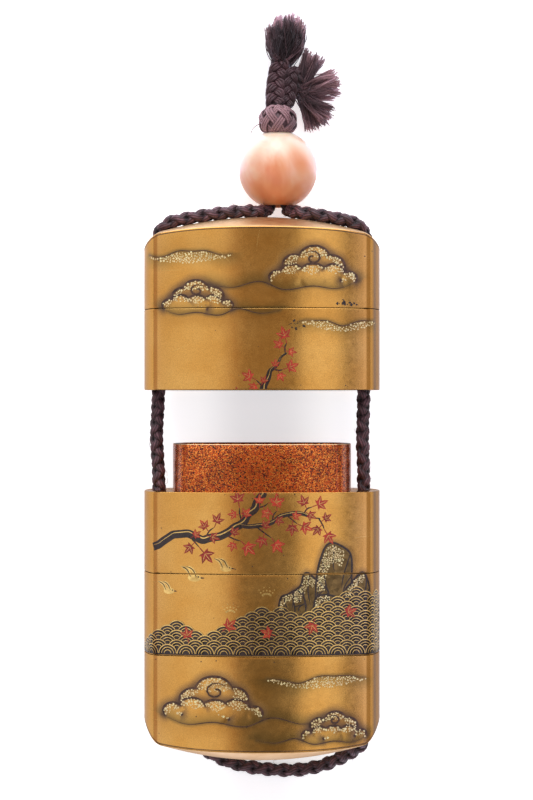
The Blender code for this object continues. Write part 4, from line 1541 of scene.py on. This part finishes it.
def paint():
    """The whole picture: clouds above, a maple bough over waves and rocks, clouds below."""
    picture = Picture()
    # The lid and the first case.
    cloud(picture, (10.5, 81.4), 19.0, turn=-1)
    cloud(picture, (-13.5, 75.4), 15.0)
    mist(picture, (-25.0, 85.4), 19.0, 0.8)
    mist(picture, (8.0, 71.4), 17.0, 0.7)
    # The maple bough comes in from the left of case 2 and rises over the joint into case 1.
    bough(picture, [(-23.0, 45.5), (-17.0, 48.6), (-11.5, 47.4), (-5.0, 50.2), (-0.5, 55.6), (1.6, 60.6),
                    (5.0, 64.8)], 1.7, 8, 11)
    bough(picture, [(-5.0, 50.2), (0.5, 50.4), (6.0, 52.8), (12.0, 51.6)], 0.95, 5, 12)
    # Rocks, and waves in front of them, across cases 2 and 3.
    for place, width, height, seed in BOULDERS:
        boulder(picture, place, width, height, seed)
    waves(picture, -29.6, 29.6, swell)
    for s in (-6.5, 1.0):
        spray(picture, (s, swell(s) + 0.4), 1.2)
    for place, size, heading in (((-15.5, 27.4), 2.0, 100), ((-7.0, 29.4), 2.2, 40), ((1.5, 28.0), 2.0, 160),
                                 ((10.5, 29.6), 2.2, 250), ((18.0, 32.2), 2.1, 20)):
        leaf(picture, place, size, heading)
    for place, size in (((-14.0, 39.4), 2.3), ((-7.4, 41.4), 2.0), ((-19.4, 36.6), 1.9)):
        plover(picture, place, size)
    # The base.
    cloud(picture, (-10.0, 12.6), 21.0)
    cloud(picture, (15.0, 7.6), 14.0, turn=-1)
    mist(picture, (1.0, 18.6), 21.0, 0.8)
    # The sides and the back, plainer.
    for place, width, tiers, turn in (
            ((40.5, 81.0), 11.0, 1, 1), ((-40.0, 77.0), 11.0, 1, -1), ((60.0, 80.0), 18.0, 2, 1),
            ((-54.0, 65.0), 15.0, 2, -1), ((53.0, 48.0), 16.0, 2, 1), ((-52.0, 14.0), 18.0, 2, -1),
            ((50.0, 10.5), 14.0, 2, 1), ((-42.0, 47.0), 9.0, 1, 1)):
        cloud(picture, place, width, tiers, turn)
    mist(picture, (44.0, 66.0), 16.0, 0.7)
    mist(picture, (-62.0, 42.0), 18.0, 0.8)
    for left, right in ((34.2, 64.2), (-64.2, -34.2)):
        waves(picture, left, right, far_swell)
    # Painted shade down the inro's round ends, darkest on the right.
    for s, *powder in EDGE_PAINTED_SHADES:
        picture.shade([(s, -5.0), (s, 45.0), (s, 95.0), (s, 100.0)], *powder)
    rim_lines(picture)
    worn_spots(picture)
    return picture


# ---------------------------------------------------------------- the picture: from flat to round

CUTS = [*np.arange(-63.0, 64.0, 1.5)]  # where the sheets are cut: closer over the four creases
for crease_s in (-22.8, 22.8, -41.7, 41.7):
    CUTS += [*crease_s + np.arange(-1.6, 1.7, 0.32)]


def cut_flat(bm, place, way, clear=False):
    """Cuts a flat mesh at a place; clear takes away what lies beyond it."""
    bmesh.ops.bisect_plane(bm, geom=[*bm.verts, *bm.edges, *bm.faces], plane_co=place, plane_no=way,
                           clear_outer=clear, dist=1e-5)


def flat_sheets(picture, low, high):
    """The sheets within a case, cut fine enough to follow its wall, by ink and level."""
    kept = {}
    for ink, points, faces, level in picture.sheets:
        if points[:, 1].max() > low and points[:, 1].min() < high:
            kept.setdefault((ink, level), []).append((np.c_[points, np.zeros(len(points))], faces))
    result = []
    for (ink, level), parts in kept.items():
        mesh = new_mesh("flat", *joined(parts), unit_length=1.0)
        bm = bmesh.new()
        bm.from_mesh(mesh)
        bpy.data.meshes.remove(mesh)
        cut_flat(bm, (0, low + SEAM_MARGIN, 0), (0, -1, 0), clear=True)
        cut_flat(bm, (0, high - SEAM_MARGIN, 0), (0, 1, 0), clear=True)
        left = min((v.co.x for v in bm.verts), default=0.0)
        right = max((v.co.x for v in bm.verts), default=0.0)
        for cut_s in CUTS:
            if left < cut_s < right:
                cut_flat(bm, (cut_s, 0, 0), (1, 0, 0))
        bm.normal_update()
        bmesh.ops.reverse_faces(bm, faces=[face for face in bm.faces if face.normal.z < 0])
        bm.verts.index_update()
        points = np.array([tuple(v.co)[:2] for v in bm.verts]).reshape(-1, 2)
        faces = [tuple(v.index for v in face.verts) for face in bm.faces]
        bm.free()
        result.append((ink, level, points, faces))
    return result


def flat_dots(picture, low, high):
    """The dots that lie wholly within a case, by ink and level."""
    kept = {}
    for ink, v, radius, points, level in picture.dots:
        if low + SEAM_MARGIN + radius < v < high - SEAM_MARGIN - radius:
            kept.setdefault((ink, level), []).append((points, [tuple(range(len(points)))]))
    return [(ink, level, *joined(parts)) for (ink, level), parts in kept.items()]


def solid_sheet(picture, points, faces, level, node):
    """A flat sheet as a thin closed shape that lies on a case's wall."""
    low, high, gap = STACK[node]
    kept = []
    for face in faces:
        s, v = points[list(face)].mean(axis=0)
        if node == "lid" and v > high - rim_height(s, LID_END) - RIM_MARGIN:
            continue
        if node == "case_4_base" and v < rim_height(s, BASE_END) + RIM_MARGIN:
            continue
        kept.append(face)
    edges = {(a, b): None for face in kept for a, b in zip(face, face[1:] + face[:1])}
    height = picture.relief(points)
    count = len(points)
    both = []
    for proud in (height + level, height - SINK):
        x, z = OUTER.at(points[:, 0], proud)
        both.append(np.stack([x, points[:, 1] + BASE_Y + gap, z + MIDDLE_Z], axis=1))
    solid = kept + [tuple(count + k for k in reversed(face)) for face in kept]
    solid += [(b, a, count + a, count + b) for a, b in edges if (b, a) not in edges]
    used = sorted({k for face in solid for k in face})
    place = {k: i for i, k in enumerate(used)}
    return np.concatenate(both)[used], [tuple(place[k] for k in face) for face in solid]


def add_picture(picture):
    """One painted layer on each case, with all its inks."""
    inks = list(INKS)
    for node, (low, high, _) in STACK.items():
        parts = []
        indices = []
        for ink, level, points, faces in flat_sheets(picture, low, high) + flat_dots(picture, low, high):
            part = solid_sheet(picture, points, faces, level, node)
            if part[1]:
                parts.append(part)
                indices += [inks.index(ink)] * len(part[1])
        piece = put_mesh(f"picture_{node}", *joined(parts), INKS.values(), "gold_lacquer", indices,
                         smooth=False)
        piece.data.validate()


def shade_cases(picture, cases):
    """Raises the clouds on the cases' walls, and marks where dark and green powder lie, and where
    the round ends are given painted shade.
    """
    for node, piece in cases.items():
        _, _, gap = STACK[node]
        mesh = piece.data
        flat = np.zeros(len(mesh.vertices) * 3, dtype=np.float32)
        mesh.vertices.foreach_get("co", flat)
        place = flat.reshape(-1, 3).astype(float) / MM
        x, z = place[:, 0], place[:, 2] - MIDDLE_Z
        s = OUTER.where(x, z)
        on_x, on_z = OUTER.at(s)
        inset = np.hypot(x - on_x, z - on_z)
        places = np.stack([s, place[:, 1] - BASE_Y - gap], axis=1)
        out_x, out_z = OUTER.at(s, picture.relief(places))
        outer = inset < ON_WALL
        place[outer, 0] = out_x[outer]
        place[outer, 2] = out_z[outer] + MIDDLE_Z
        mesh.vertices.foreach_set("co", (place * MM).astype(np.float32).ravel())
        for powder in ("soot", "green", "age"):
            set_attribute(mesh, powder, np.where(inset < NEAR_WALL, picture.shade_at(places, powder), 0.0))
        mesh.update()


def main():
    add_camera()
    add_lights()
    add_floor()
    cord, line = add_cord()
    tassel = add_tassel()
    cases = add_cases()
    add_bead()
    picture = paint()
    shade_cases(picture, cases)
    add_picture(picture)


main()
